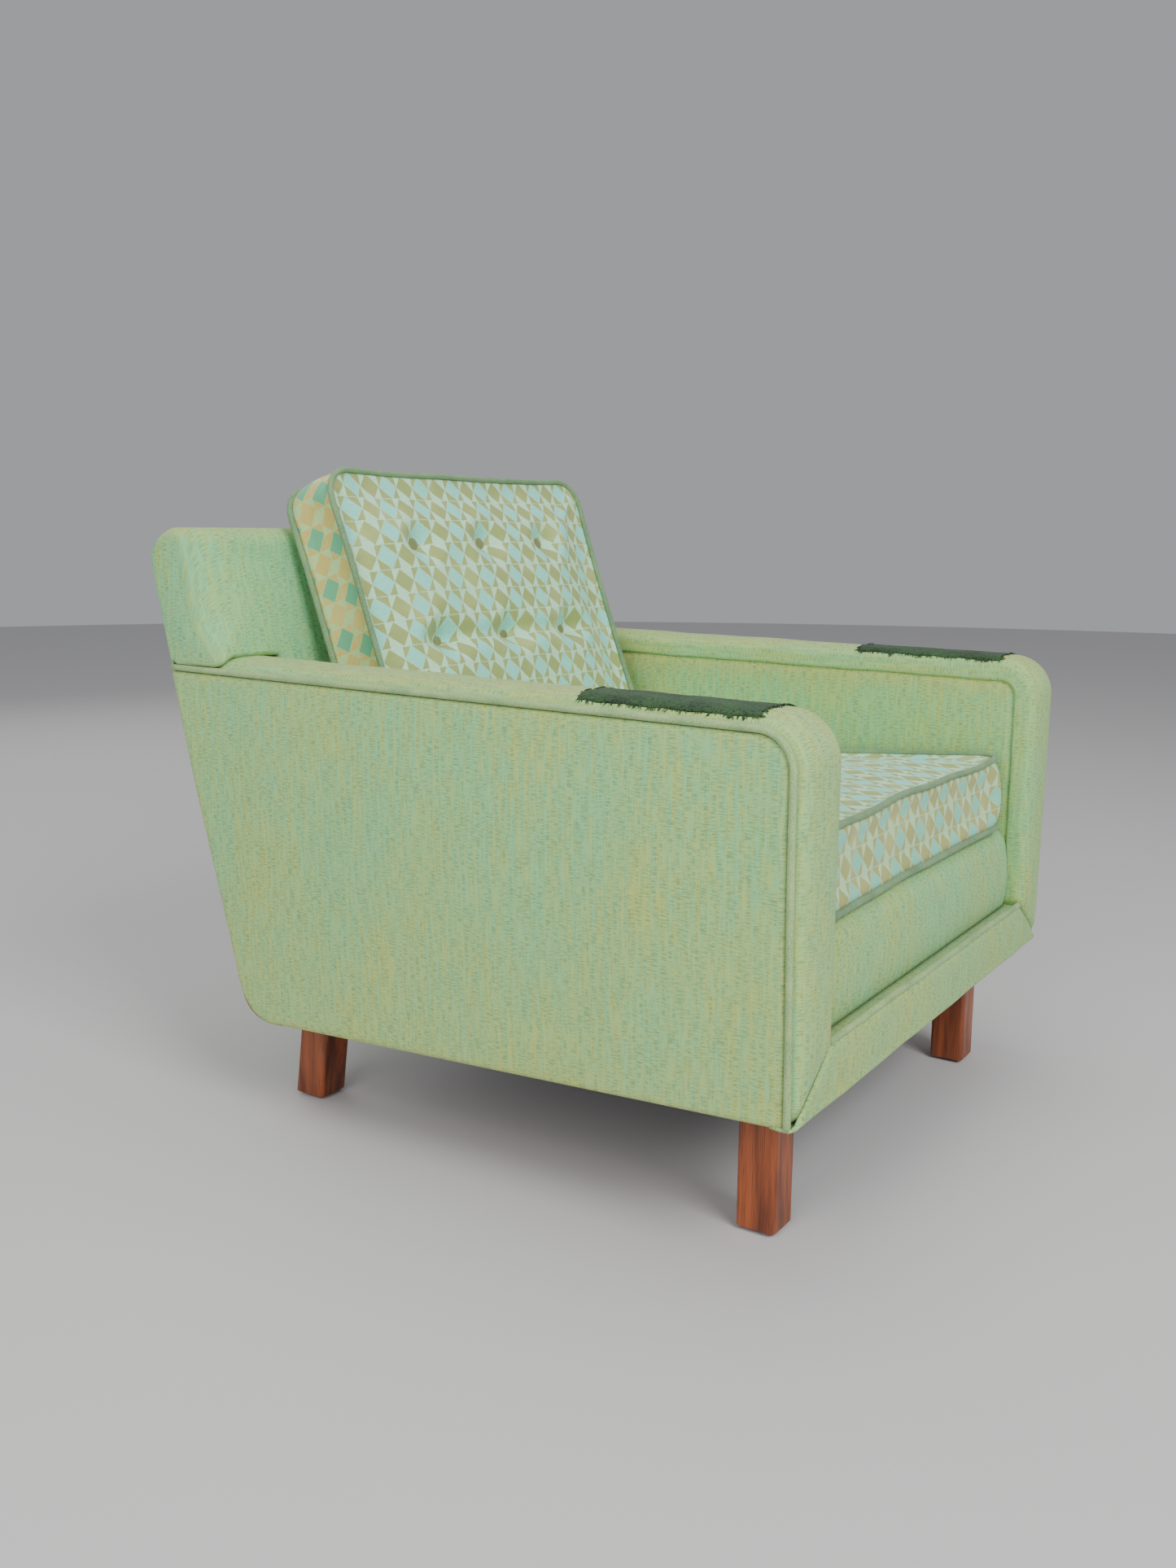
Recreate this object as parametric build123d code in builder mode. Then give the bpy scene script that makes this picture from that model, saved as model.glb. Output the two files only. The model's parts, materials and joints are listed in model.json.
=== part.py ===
"""Upholstered lounge chair with two loose cushions, in millimetres.

The origin is on the floor, in the middle of the chair's width and depth. +Z is up, the chair faces
-Y, and +X is on the right of somebody who looks at the chair's front. "Left" pieces are at -X.
"""
from build123d import *
import os
from math import cos, pi, radians, sin, tan

os.makedirs("parts", exist_ok=True)

# ------------------------------------------------------------------ overall sizes
depth = 806.0                # front of the arms to the rear edge of the back's top
body_width = 740.0           # over the two side panels
arm_thickness = 78.0         # outside face to inside face
arm_front_height = 513.0     # floor to arm top, at the front
arm_rear_height = 524.0      # floor to arm top, where it meets the back
back_height = 668.0          # floor to the top of the upholstered back
back_rake = 12.9             # degrees
back_thickness = 86.0        # upholstered back, square to its faces
belly_front_height = 149.0   # floor to the underside, at the front
belly_rear_height = 115.0    # floor to the underside, at the rear
arm_front_radius = 44.0      # rounded top front corner of an arm
belly_rear_radius = 42.0     # rounded bottom rear corner of the body
back_top_radius = 28.0       # top rear edge of the back

# ------------------------------------------------------------------ cloth and padding
cloth = 2.0                  # cover cloth with its lining
side_cloth = 4.0             # side panel with its felt
side_board = 4.0             # hardboard behind each side panel
arm_padding = 14.0           # over the top and front of an arm
inner_arm_padding = 12.0     # on the inside face of an arm
back_cloth = 3.0             # outside back
top_rail_reach = 9.25        # up into the back's rounded top
panel_inset = 12.2           # side panel's edge to the arm's outline
welt_radius = 3.5
welt_inset = 8.5             # centre of a side welt to the arm's outline
patch_thickness = 2.5
patch_front_gap = 46.0       # front of the arm to the patch
patch_length = 188.0
patch_edge_gap = 3.0         # patch to each edge of the arm

# ------------------------------------------------------------------ seat platform and apron
apron_height = 58.0
apron_thickness = 16.0       # at its mitred ends
platform_setback = 20.0      # front of the arms to the platform's front face
platform_height = 310.0      # floor to the platform, at its front edge
platform_radius = 24.0
roll_depth = 62.0            # front roll, front to back
seat_tilt = 4.0              # degrees, rear edge low
deck_padding = 28.0
seat_gap = 2.0               # cloth to the inside arm faces
arm_gap = 0.2                # shoulders to the arm tops, back to the deck

# ------------------------------------------------------------------ frame timber
rail_thickness = 30.0
rear_rail_thickness = 24.0
rail_round_share = 0.8       # largest lower rounding, as a share of the rail's thickness
side_rail_height = 72.0
arm_rail_height = 45.0
post_depth = 45.0            # front posts
rear_post_depth = 50.0
rear_rail_lift = 10.0        # the rear rail's lower rear edge above the underside
back_rail_height = 55.0
corner_block_size = 112.0
corner_block_height = 30.0
webbing_thickness = 1.4
webbing_width = 50.0
webbing_count = 4            # straps up the back

# ------------------------------------------------------------------ springs
spring_wire = 4.0
spring_width = 50.0
spring_pitch = 30.0
turn_radius_share = 0.45     # a spring's turns, as a share of its pitch
spring_count = 5
spring_drop = 36.0           # seat surface to the wire's centre line
clip_length = 26.0
clip_depth = 16.0
clip_clearance = 0.4

# ------------------------------------------------------------------ legs
leg_size = 42.0
leg_edge_radius = 5.0
leg_side_inset = 98.0        # side of the body to a leg's centre
front_leg_setback = 73.0     # front of the arms to a front leg's centre
rear_leg_setback = 36.0      # lower rear corner to a rear leg's centre, at the frame
rear_leg_rake = 7.5          # degrees, feet to the rear
glide_height = 3.0
glide_radius = 12.0
glide_pin_radius = 1.5
glide_pin_length = 12.0
leg_bolt_radius = 4.0
leg_bolt_depth = 40.0        # into the leg
bolt_clearance = 0.1
nut_radius = 8.0
nut_height = 7.0

# ------------------------------------------------------------------ seat cushion
cushion_side_gap = 9.0       # each side, cushion to the inside arm cloth
cushion_setback = 5.0        # platform's front face to the cushion's boxing
cushion_rear_gap = 9.0       # to the inside back cloth
cushion_lift = 1.0           # cushion's underside above the platform
seat_boxing = 88.0
seat_crown = 20.0
crown_slope = 90.0           # how far in from the edge the crown rises
cushion_corner = 38.0
cushion_cloth = 2.0
cushion_welt = 3.5
zip_length = 420.0
zip_width = 8.0
zip_thickness = 1.6

# ------------------------------------------------------------------ back cushion
back_cushion_gap = 42.0      # each side, cushion to the inside arm cloth
back_cushion_length = 366.0  # up along its rake
back_boxing = 72.0
back_cushion_rake = 19.7     # degrees
front_crown = 24.0
rear_crown = 14.0
back_cushion_lift = 0.8      # its welt above the seat cushion's crown
back_cushion_rear_gap = 1.6  # at the back's top edge, square to the cushion
button_radius = 11.0
button_height = 5.0
button_round_share = 1 / 3   # rounding of a button's edge, as a share of its height
button_spacing = 130.0       # across
button_row_spacing = 118.0
button_top_margin = 90.0     # top of the cushion to the top row
rear_button_radius = 7.0
twine_radius = 0.8
twine_clearance = 0.2
rear_button_height = 3.0
settling_rounds = 60         # more than enough for the two places found by repetition

# ------------------------------------------------------------------ derived places
half_width = body_width / 2
seat_half = half_width - arm_thickness
front_y = -depth / 2
frame_outer = half_width - side_cloth - side_board
frame_inner = seat_half + cloth + inner_arm_padding
frame_front_y = front_y + cloth + arm_padding
apron_top = belly_front_height + apron_height
platform_y = front_y + platform_setback
rail_front_y = platform_y + cloth + cloth
rake = radians(back_rake)
back_edge_y = depth / 2 + back_top_radius * (tan(rake) + 1 / cos(rake) - 1)
tilt = radians(seat_tilt)
lean = radians(back_cushion_rake)
post_front = back_cloth + rear_post_depth
webbing_front = post_front + 2 * webbing_thickness
back_round = back_top_radius * cos(rake) / tan((pi / 2 - rake) / 2)
post_top = back_height - cloth - back_round + top_rail_reach
rail_drop = spring_drop + spring_wire / 2


# ------------------------------------------------------------------ lines of the side view
def rear_y(z, inward=0.0):
    """Y of the back's rear face at height z, or of a plane that much inside it."""
    return back_edge_y - (back_height - z) * tan(rake) - inward / cos(rake)


def line_z(y, front, rear, rear_at):
    """Height at y of a straight line from the chair's front to its rear."""
    return front + (rear - front) * (y - front_y) / (rear_at - front_y)


def belly_z(y):
    """Height of the body's underside."""
    return line_z(y, belly_front_height, belly_rear_height, rear_y(belly_rear_height))


def arm_z(y):
    """Height of the arm top."""
    return line_z(y, arm_front_height, arm_rear_height, rear_y(arm_rear_height))


def seat_z(y, drop=0.0):
    """Height of the platform, or of a plane that much below it."""
    return platform_height - (y - platform_y) * tan(tilt) - drop / cos(tilt)


def meet(line, inward, drop=0.0):
    """Point (y, z) where a side-view line, lowered by drop, meets a plane inside the back."""
    z = line(0) - drop
    for _ in range(settling_rounds):
        z = line(rear_y(z, inward)) - drop
    return rear_y(z, inward), z


def side_points(inset, rear_inset=0.0, belly_inset=0.0, front_inset=None):
    """Corners of the body's side view: belly front, arm front, arm rear, belly rear."""
    y_front = front_y + (inset if front_inset is None else front_inset)
    return [
        (y_front, belly_z(y_front) + belly_inset),
        (y_front, arm_z(y_front) - inset),
        meet(arm_z, rear_inset, inset),
        meet(belly_z, rear_inset, -belly_inset),
    ]


# ------------------------------------------------------------------ helpers
pieces = {}


def add_slab(points, x_from, x_to, mode=Mode.ADD, radii=None):
    """Extrude a side-view polygon across the chair, with rounded corners where radii says so."""
    with BuildSketch(Plane.YZ.offset(x_from)) as profile:
        with BuildLine():
            Polyline(*points, close=True)
        make_face()
        for corner, radius in (radii or {}).items():
            fillet(profile.vertices().sort_by_distance((*points[corner], 0))[0], radius)
    extrude(profile.sketch, amount=x_to - x_from, mode=mode)


def slab(points, x_from, x_to, radii=None):
    """A whole piece from one side-view polygon."""
    with BuildPart() as piece:
        add_slab(points, x_from, x_to, radii=radii)
    return piece


def across(side, inner, outer):
    """X range of a piece that lies between two distances from the middle, on one side."""
    return (inner, outer) if side > 0 else (-outer, -inner)


def raked_plane(inward):
    """Plane inside the back, facing forwards, with its origin at the height of the back's top."""
    return Plane(
        origin=(0, rear_y(back_height, inward), back_height),
        x_dir=(1, 0, 0),
        z_dir=(0, -cos(rake), sin(rake)),
    )


def seat_plane(drop):
    """Plane along the platform, facing up, with its origin at the platform's front edge."""
    return Plane(
        origin=(0, platform_y, seat_z(platform_y, drop)),
        x_dir=(1, 0, 0),
        z_dir=(0, sin(tilt), cos(tilt)),
    )


sides = {"left": -1, "right": 1}

# ------------------------------------------------------------------ arm frames and arm covers
rear_post_points = [
    meet(belly_z, post_front, -cloth),
    (rear_y(post_top, post_front), post_top),
    (rear_y(post_top, back_cloth), post_top),
    meet(belly_z, back_cloth, -cloth),
]
frame_corner_radius = belly_rear_radius - back_cloth
post_rear_y = frame_front_y + post_depth
rail_under = arm_padding + cloth + arm_rail_height
arm_post_y, arm_post_z = meet(arm_z, post_front, arm_padding + cloth)
tucked = rail_drop - 2 * cloth


def clear_below(x_range):
    """Cut an arm's soft layer away below the apron's top and, behind the front rail, above the rails."""
    rear = rear_y(0)
    below = [
        (front_y, 0),
        (front_y, apron_top),
        (rail_front_y, apron_top),
        (rail_front_y, seat_z(rail_front_y, tucked)),
        (rear, seat_z(rear, tucked)),
        (rear, 0),
    ]
    add_slab(below, *x_range, mode=Mode.SUBTRACT)


for name, side in sides.items():
    frame_x = across(side, frame_inner, frame_outer)
    inside_x = across(side, seat_half, seat_half + cloth)
    border_x = across(side, seat_half, half_width)

    pieces[f"front_post_{name}"] = slab(
        [
            (frame_front_y, belly_z(frame_front_y) + cloth),
            (frame_front_y, arm_z(frame_front_y) - rail_under),
            (post_rear_y, arm_z(post_rear_y) - rail_under),
            (post_rear_y, belly_z(post_rear_y) + cloth),
        ],
        *frame_x,
    )
    pieces[f"rear_post_{name}"] = slab(rear_post_points, *frame_x, radii={3: frame_corner_radius})
    pieces[f"arm_rail_{name}"] = slab(
        [
            (frame_front_y, arm_z(frame_front_y) - rail_under),
            (frame_front_y, arm_z(frame_front_y) - arm_padding - cloth),
            (arm_post_y, arm_post_z),
            meet(arm_z, post_front, rail_under),
        ],
        *frame_x,
        radii={1: arm_front_radius - arm_padding - cloth},
    )
    pieces[f"side_rail_{name}"] = slab(
        [
            (post_rear_y, belly_z(post_rear_y) + cloth),
            (post_rear_y, belly_z(post_rear_y) + cloth + side_rail_height),
            meet(belly_z, post_front, -cloth - side_rail_height),
            meet(belly_z, post_front, -cloth),
        ],
        *frame_x,
    )

    # Padding over the arm rail, down the front post and down the inside face to the rails.
    with BuildPart() as arm_pad:
        pad = side_points(cloth, webbing_front, 0, cloth)
        core = side_points(arm_padding + cloth, webbing_front, 0, arm_padding + cloth)
        pad_x = across(side, seat_half + cloth, frame_outer)
        add_slab(pad, *pad_x, radii={1: arm_front_radius - cloth})
        core_radius = arm_front_radius - arm_padding - cloth
        add_slab(core, *frame_x, mode=Mode.SUBTRACT, radii={1: core_radius})
        clear_below(pad_x)
    pieces[f"arm_pad_{name}"] = arm_pad

    # Cloth on the inside face, from the front to the back's webbing.
    with BuildPart() as inside_arm:
        inside = side_points(cloth, webbing_front, 0, cloth)
        add_slab(inside, *inside_x, radii={1: arm_front_radius - cloth})
        clear_below(inside_x)
    pieces[f"inside_arm_cover_{name}"] = inside_arm

    # Strip of cloth over the arm top and down its front, mitred to the apron at the bottom.
    with BuildPart() as border:
        add_slab(side_points(0, webbing_front), *border_x, radii={1: arm_front_radius})
        hollow = side_points(cloth, webbing_front - cloth, -cloth, cloth)
        add_slab(hollow, *border_x, mode=Mode.SUBTRACT, radii={1: arm_front_radius - cloth})
        with BuildSketch(Plane.XZ.offset(-front_y - 1)):
            with BuildLine():
                Polyline(
                    (side * seat_half, apron_top),
                    (side * half_width, belly_front_height),
                    (side * half_width, 0),
                    (side * seat_half, 0),
                    close=True,
                )
            make_face()
        extrude(amount=-arm_padding, both=True, mode=Mode.SUBTRACT)
    pieces[f"arm_border_{name}"] = border

    # Outer side: a board on the frame, then the side panel with its felt.
    board_x = across(side, frame_outer, frame_outer + side_board)
    board_radii = {1: arm_front_radius - arm_padding, 3: belly_rear_radius - cloth}
    board = side_points(arm_padding + cloth, back_cloth, cloth, arm_padding + cloth)
    pieces[f"side_board_{name}"] = slab(board, *board_x, radii=board_radii)
    panel_x = across(side, half_width - side_cloth, half_width)
    panel = side_points(panel_inset, 0, 0, panel_inset)
    panel_radii = {1: arm_front_radius - panel_inset, 3: belly_rear_radius}
    pieces[f"side_panel_{name}"] = slab(panel, *panel_x, radii=panel_radii)

    # Welt along the panel's top and down its front.
    with BuildPart() as side_welt:
        welt = side_points(welt_inset, back_cloth + cloth, 0, welt_inset)
        with BuildLine(Plane.YZ.offset(side * (half_width - welt_radius))) as route:
            FilletPolyline(*welt[:3], radius=arm_front_radius - welt_inset)
        with BuildSketch(route.line ^ 0):
            Circle(welt_radius)
        sweep()
    pieces[f"side_welt_{name}"] = side_welt

    # Worn arm's patch, lying on the border along the front part of the arm.
    patch_start = front_y + patch_front_gap
    patch_end = patch_start + patch_length
    patch = [
        (patch_start, arm_z(patch_start)),
        (patch_start, arm_z(patch_start) + patch_thickness),
        (patch_end, arm_z(patch_end) + patch_thickness),
        (patch_end, arm_z(patch_end)),
    ]
    patch_x = across(side, seat_half + patch_edge_gap, half_width - patch_edge_gap)
    pieces[f"arm_patch_{name}"] = slab(patch, *patch_x)

# ------------------------------------------------------------------ cross rails
front_rail_rear_y = rail_front_y + rail_thickness
pieces["front_rail"] = slab(
    [
        (rail_front_y, belly_z(rail_front_y) + cloth),
        (rail_front_y, seat_z(rail_front_y, rail_drop)),
        (front_rail_rear_y, seat_z(front_rail_rear_y, rail_drop)),
        (front_rail_rear_y, belly_z(front_rail_rear_y) + cloth),
    ],
    -frame_inner,
    frame_inner,
)
rear_rail_front = back_cloth + rear_rail_thickness
pieces["rear_rail"] = slab(
    [
        meet(belly_z, rear_rail_front, -cloth),
        meet(seat_z, rear_rail_front, rail_drop / cos(tilt)),
        meet(seat_z, back_cloth, rail_drop / cos(tilt)),
        meet(belly_z, back_cloth, -cloth - rear_rail_lift),
    ],
    -frame_inner,
    frame_inner,
    radii={3: min(frame_corner_radius, rear_rail_thickness * rail_round_share)},
)

lower_rail_z = seat_z(rear_y(platform_height, post_front)) + cloth


def back_rail(z_low):
    """A rail between the rear posts, with its lower edge at z_low."""
    z_high = z_low + back_rail_height
    return slab(
        [
            (rear_y(z_low, post_front), z_low),
            (rear_y(z_high, post_front), z_high),
            (rear_y(z_high, back_cloth), z_high),
            (rear_y(z_low, back_cloth), z_low),
        ],
        -frame_inner,
        frame_inner,
    )


pieces["back_top_rail"] = back_rail(post_top - back_rail_height)
pieces["back_lower_rail"] = back_rail(lower_rail_z)

# ------------------------------------------------------------------ corner blocks and legs
leg_x = half_width - leg_side_inset
front_leg_y = front_y + front_leg_setback
rear_corner_y = meet(belly_z, 0)[0]
rear_leg_y = rear_corner_y - rear_leg_setback
belly_slope = (belly_z(1) - belly_z(0)) / 1
block_front_y = front_rail_rear_y
block_rear_y = meet(belly_z, rear_rail_front, -cloth - corner_block_height)[0]
leg_places = {
    "front": (front_leg_y, 0.0, block_front_y, 1),
    "rear": (rear_leg_y, rear_leg_rake, block_rear_y, -1),
}


def belly_plane(y, lift=0.0):
    """Plane along the body's underside at y, facing up."""
    return Plane(origin=(0, y, belly_z(y) + lift), x_dir=(1, 0, 0), z_dir=(0, -belly_slope, 1))


def leg_plane(x, end):
    """Plane across a leg at the frame, facing up along the leg."""
    y, leg_rake, _, _ = leg_places[end]
    turn = radians(leg_rake)
    return Plane(origin=(x, y, belly_z(y)), x_dir=(1, 0, 0), z_dir=(0, -sin(turn), cos(turn)))


with BuildPart() as corner_blocks:
    for side in sides.values():
        for end in ("front", "rear"):
            y, _, block_y, inward = leg_places[end]
            with BuildSketch(belly_plane(y, cloth)):
                with BuildLine():
                    reach = block_y - y
                    Polyline(
                        (side * frame_inner, reach),
                        (side * (frame_inner - corner_block_size), reach),
                        (side * (frame_inner - leg_size), reach + inward * corner_block_size),
                        (side * frame_inner, reach + inward * corner_block_size),
                        close=True,
                    )
                make_face()
            extrude(amount=corner_block_height)
    behind = [
        (rear_y(0, rear_rail_front), 0),
        (rear_y(back_height, rear_rail_front), back_height),
        (rear_y(back_height, -depth), back_height),
        (rear_y(0, -depth), 0),
    ]
    add_slab(behind, -half_width, half_width, mode=Mode.SUBTRACT)
    for side in sides.values():
        for end in ("front", "rear"):
            with BuildSketch(leg_plane(side * leg_x, end)):
                Circle(leg_bolt_radius + bolt_clearance)
            extrude(amount=2 * corner_block_height, both=True, mode=Mode.SUBTRACT)
pieces["corner_blocks"] = corner_blocks

foot_y_of = {}
for end in ("front", "rear"):
    for name, side in sides.items():
        top = leg_plane(side * leg_x, end)
        with BuildPart() as leg:
            with BuildSketch(top.offset(corner_block_height)):
                RectangleRounded(leg_size, leg_size, leg_edge_radius)
            extrude(amount=-2 * belly_front_height)
            split(bisect_by=belly_plane(leg_places[end][0], cloth), keep=Keep.BOTTOM)
            split(bisect_by=Plane.XY.offset(glide_height), keep=Keep.TOP)
            with BuildSketch(top):
                Circle(leg_bolt_radius + bolt_clearance)
            extrude(amount=-leg_bolt_depth, mode=Mode.SUBTRACT)
            with BuildSketch(top):
                Circle(leg_bolt_radius + bolt_clearance)
            extrude(amount=corner_block_height, mode=Mode.SUBTRACT)
            foot = leg.faces().sort_by(Axis.Z)[0]
            foot_y = foot.center().Y
            chamfer(foot.edges(), glide_height / 2)
            with BuildSketch(Plane.XY.offset(glide_height)):
                with Locations((side * leg_x, foot_y)):
                    Circle(glide_pin_radius + bolt_clearance)
            extrude(amount=glide_pin_length, mode=Mode.SUBTRACT)
        pieces[f"leg_{end}_{name}"] = leg
    foot_y_of[end] = foot_y

with BuildPart() as leg_glides:
    for end in ("front", "rear"):
        for side in sides.values():
            with BuildSketch(Plane.XY):
                with Locations((side * leg_x, foot_y_of[end])):
                    Circle(glide_radius)
            extrude(amount=glide_height)
            with BuildSketch(Plane.XY):
                with Locations((side * leg_x, foot_y_of[end])):
                    Circle(glide_pin_radius)
            extrude(amount=glide_height + glide_pin_length - bolt_clearance)
pieces["leg_glides"] = leg_glides

with BuildPart() as leg_bolts:
    for end in ("front", "rear"):
        for side in sides.values():
            top = leg_plane(side * leg_x, end)
            nut_seat = cloth + corner_block_height + nut_height / 2
            with BuildSketch(top.offset(-leg_bolt_depth + bolt_clearance)):
                Circle(leg_bolt_radius)
            extrude(amount=leg_bolt_depth + nut_seat + nut_height)
            with BuildSketch(top.offset(nut_seat)):
                RegularPolygon(nut_radius, 6)
            extrude(amount=nut_height)
pieces["leg_bolts"] = leg_bolts

# ------------------------------------------------------------------ seat springs and clips
rear_rail_y = meet(seat_z, (rear_rail_front + back_cloth) / 2, rail_drop)[0]
front_hook = (front_rail_rear_y + rail_front_y) / 2 - platform_y
spring_length = (rear_rail_y - platform_y) / cos(tilt) - front_hook - spring_wire
run_count = 2 * int(spring_length / spring_pitch / 2) + 1
run_step = spring_length / (run_count - 1)
spring_gap = 2 * (seat_half - spring_width) / spring_count

with BuildPart() as spring:
    with BuildLine(seat_plane(spring_drop)) as wire:
        turns = []
        for run in range(run_count):
            ends = (-1, 1) if run % 2 == 0 else (1, -1)
            for end in ends:
                turns.append((end * spring_width / 2, front_hook + run * run_step))
        FilletPolyline(*turns, radius=run_step * turn_radius_share)
    with BuildSketch(wire.line ^ 0):
        Circle(spring_wire / 2)
    sweep()
with BuildPart() as seat_springs:
    with GridLocations(spring_gap, 0, spring_count, 1):
        add(spring.part)
pieces["seat_springs"] = seat_springs

with BuildPart() as spring_clips:
    for place in (front_hook, front_hook + (run_count - 1) * run_step):
        clip_plane = seat_plane(rail_drop)
        with BuildSketch(clip_plane):
            with Locations((0, place)):
                with GridLocations(spring_gap, 0, spring_count, 1):
                    Rectangle(clip_length, clip_depth)
        extrude(amount=spring_wire + spring_wire / 2)
    for place in (front_hook, front_hook + (run_count - 1) * run_step):
        with BuildSketch(seat_plane(rail_drop)):
            with Locations((0, place)):
                Rectangle(2 * seat_half, spring_wire + 2 * clip_clearance)
        extrude(amount=spring_wire + clip_clearance, mode=Mode.SUBTRACT)
pieces["spring_clips"] = spring_clips

# ------------------------------------------------------------------ platform, deck and apron
deck_half = seat_half - seat_gap / 2
roll_rear_y = platform_y + roll_depth

with BuildPart() as roll_pad:
    outline = [
        (platform_y + cloth, apron_top),
        (platform_y + cloth, seat_z(platform_y + cloth, cloth)),
        (roll_rear_y, seat_z(roll_rear_y, cloth)),
        (roll_rear_y, seat_z(roll_rear_y, cloth + deck_padding)),
        (rail_front_y, seat_z(rail_front_y, cloth + deck_padding)),
        (rail_front_y, apron_top),
    ]
    add_slab(outline, -deck_half, deck_half, radii={1: platform_radius - cloth})
pieces["front_roll_pad"] = roll_pad

with BuildPart() as platform_cover:
    outer = [
        (platform_y, apron_top),
        (platform_y, seat_z(platform_y)),
        (roll_rear_y, seat_z(roll_rear_y)),
        (roll_rear_y, apron_top),
    ]
    inner = [
        (platform_y + cloth, apron_top - cloth),
        (platform_y + cloth, seat_z(platform_y + cloth, cloth)),
        (roll_rear_y + cloth, seat_z(roll_rear_y + cloth, cloth)),
        (roll_rear_y + cloth, apron_top - cloth),
    ]
    add_slab(outer, -deck_half, deck_half, radii={1: platform_radius})
    add_slab(inner, -deck_half, deck_half, mode=Mode.SUBTRACT, radii={1: platform_radius - cloth})
pieces["platform_cover"] = platform_cover


def deck_layer(top, bottom, inward):
    """A layer of the deck from the front roll to a plane inside the back."""
    return slab(
        [
            (roll_rear_y, seat_z(roll_rear_y, bottom)),
            (roll_rear_y, seat_z(roll_rear_y, top)),
            meet(seat_z, inward, top / cos(tilt)),
            meet(seat_z, inward, bottom / cos(tilt)),
        ],
        -deck_half,
        deck_half,
    )


pieces["deck_cover"] = deck_layer(0, cloth, webbing_front)
pieces["deck_pad"] = deck_layer(cloth, cloth + deck_padding, webbing_front)

with BuildPart() as apron_panel:
    with BuildSketch(Plane.XZ.offset(-front_y)):
        with BuildLine():
            Polyline(
                (-half_width, belly_front_height),
                (half_width, belly_front_height),
                (seat_half, apron_top),
                (-seat_half, apron_top),
                close=True,
            )
        make_face()
    extrude(amount=-apron_thickness)
    apron_rear_y = front_y + apron_thickness
    backing = [
        (apron_rear_y, belly_z(apron_rear_y)),
        (apron_rear_y, apron_top),
        (rail_front_y, apron_top),
        (rail_front_y, belly_z(rail_front_y)),
    ]
    add_slab(backing, -seat_half, seat_half)
    under = [
        (front_y, 0),
        (front_y, belly_z(front_y)),
        (rail_front_y, belly_z(rail_front_y)),
        (rail_front_y, 0),
    ]
    add_slab(under, -half_width, half_width, mode=Mode.SUBTRACT)
    notch_y = front_y + welt_inset - welt_radius
    welt_notch = [(notch_y, 0), (notch_y, apron_top), (rail_front_y, apron_top), (rail_front_y, 0)]
    for side in sides.values():
        notch_x = across(side, half_width - 2 * welt_radius, half_width)
        add_slab(welt_notch, *notch_x, mode=Mode.SUBTRACT)
pieces["apron_panel"] = apron_panel

with BuildPart() as apron_welt:
    welt_y = front_y + welt_radius
    with BuildSketch(Plane.YZ.offset(-seat_half + seat_gap)):
        with Locations((welt_y, apron_top + welt_radius)):
            Circle(welt_radius)
    extrude(amount=2 * (seat_half - seat_gap))
pieces["apron_welt"] = apron_welt

# Dust cloth under the frame, notched round the legs.
with BuildPart() as dust_cover:
    dust = [
        (rail_front_y, belly_z(rail_front_y)),
        (rail_front_y, belly_z(rail_front_y) + cloth),
        meet(belly_z, rear_rail_front, -cloth),
        meet(belly_z, rear_rail_front, 0),
    ]
    add_slab(dust, -frame_inner, frame_inner)
    for end in ("front", "rear"):
        for side in sides.values():
            with BuildSketch(leg_plane(side * leg_x, end)):
                Rectangle(leg_size + seat_gap, leg_size + seat_gap)
            extrude(amount=corner_block_height, both=True, mode=Mode.SUBTRACT)
pieces["dust_cover"] = dust_cover

tack_radius = 3.5
tack_height = 1.2
tack_count = 7
tack_inset = 12.0
tack_span = 2 * (leg_x - leg_size - tack_inset)
with BuildPart() as tacks:
    front_tack_y = rail_front_y + tack_inset
    rear_tack_y = meet(belly_z, rear_rail_front)[0] - tack_inset
    for y in (front_tack_y, rear_tack_y):
        with BuildSketch(belly_plane(y)):
            with GridLocations(tack_span / (tack_count - 1), 0, tack_count, 1):
                Circle(tack_radius)
        extrude(amount=-tack_height)
pieces["dust_cover_tacks"] = tacks

# ------------------------------------------------------------------ back: webbing, padding, cloth
web_top = post_top - webbing_width / 4
web_low = lower_rail_z + webbing_width / 4
web_gap = 2 * (frame_inner - webbing_width) / webbing_count
level_low = (lower_rail_z + back_rail_height + meet(arm_z, post_front, rail_under)[1]) / 2
level_high = (meet(arm_z, post_front)[1] + post_top - back_rail_height) / 2


def up_the_rake(z):
    """Distance along the raked planes, from the height of the back's top, of a point at height z."""
    return (z - back_height) / cos(rake)


with BuildPart() as back_webbing:
    with BuildSketch(raked_plane(post_front)):
        with Locations((0, up_the_rake((web_top + web_low) / 2))):
            with GridLocations(web_gap, 0, webbing_count, 1):
                Rectangle(webbing_width, (web_top - web_low) / cos(rake))
    extrude(amount=webbing_thickness)
    with BuildSketch(raked_plane(post_front + webbing_thickness)):
        with Locations((0, up_the_rake(level_low)), (0, up_the_rake(level_high))):
            Rectangle(2 * frame_inner + webbing_width, webbing_width)
    extrude(amount=webbing_thickness)
pieces["back_webbing"] = back_webbing

stem_half = seat_half - seat_gap


def back_points(inset, z_line, top):
    """Side view of the back's upholstery: bottom rear, top rear, top front, bottom front."""
    front = back_thickness - inset
    return [
        meet(z_line, inset, -inset),
        (rear_y(top, inset), top),
        (rear_y(top, front), top),
        meet(z_line, front, -inset),
    ]


def back_block(inset):
    """The back's upholstery, inset all round: shoulders on the arm tops and a stem between the arms."""
    shoulder_half = half_width - inset
    with BuildPart() as block:
        shoulders = back_points(inset, arm_z, back_height - inset)
        add_slab(shoulders, -shoulder_half, shoulder_half, radii={1: back_top_radius - inset})
        stem = back_points(inset, seat_z, outside_top)
        add_slab(stem, inset - stem_half, stem_half - inset)
    return block


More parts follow.
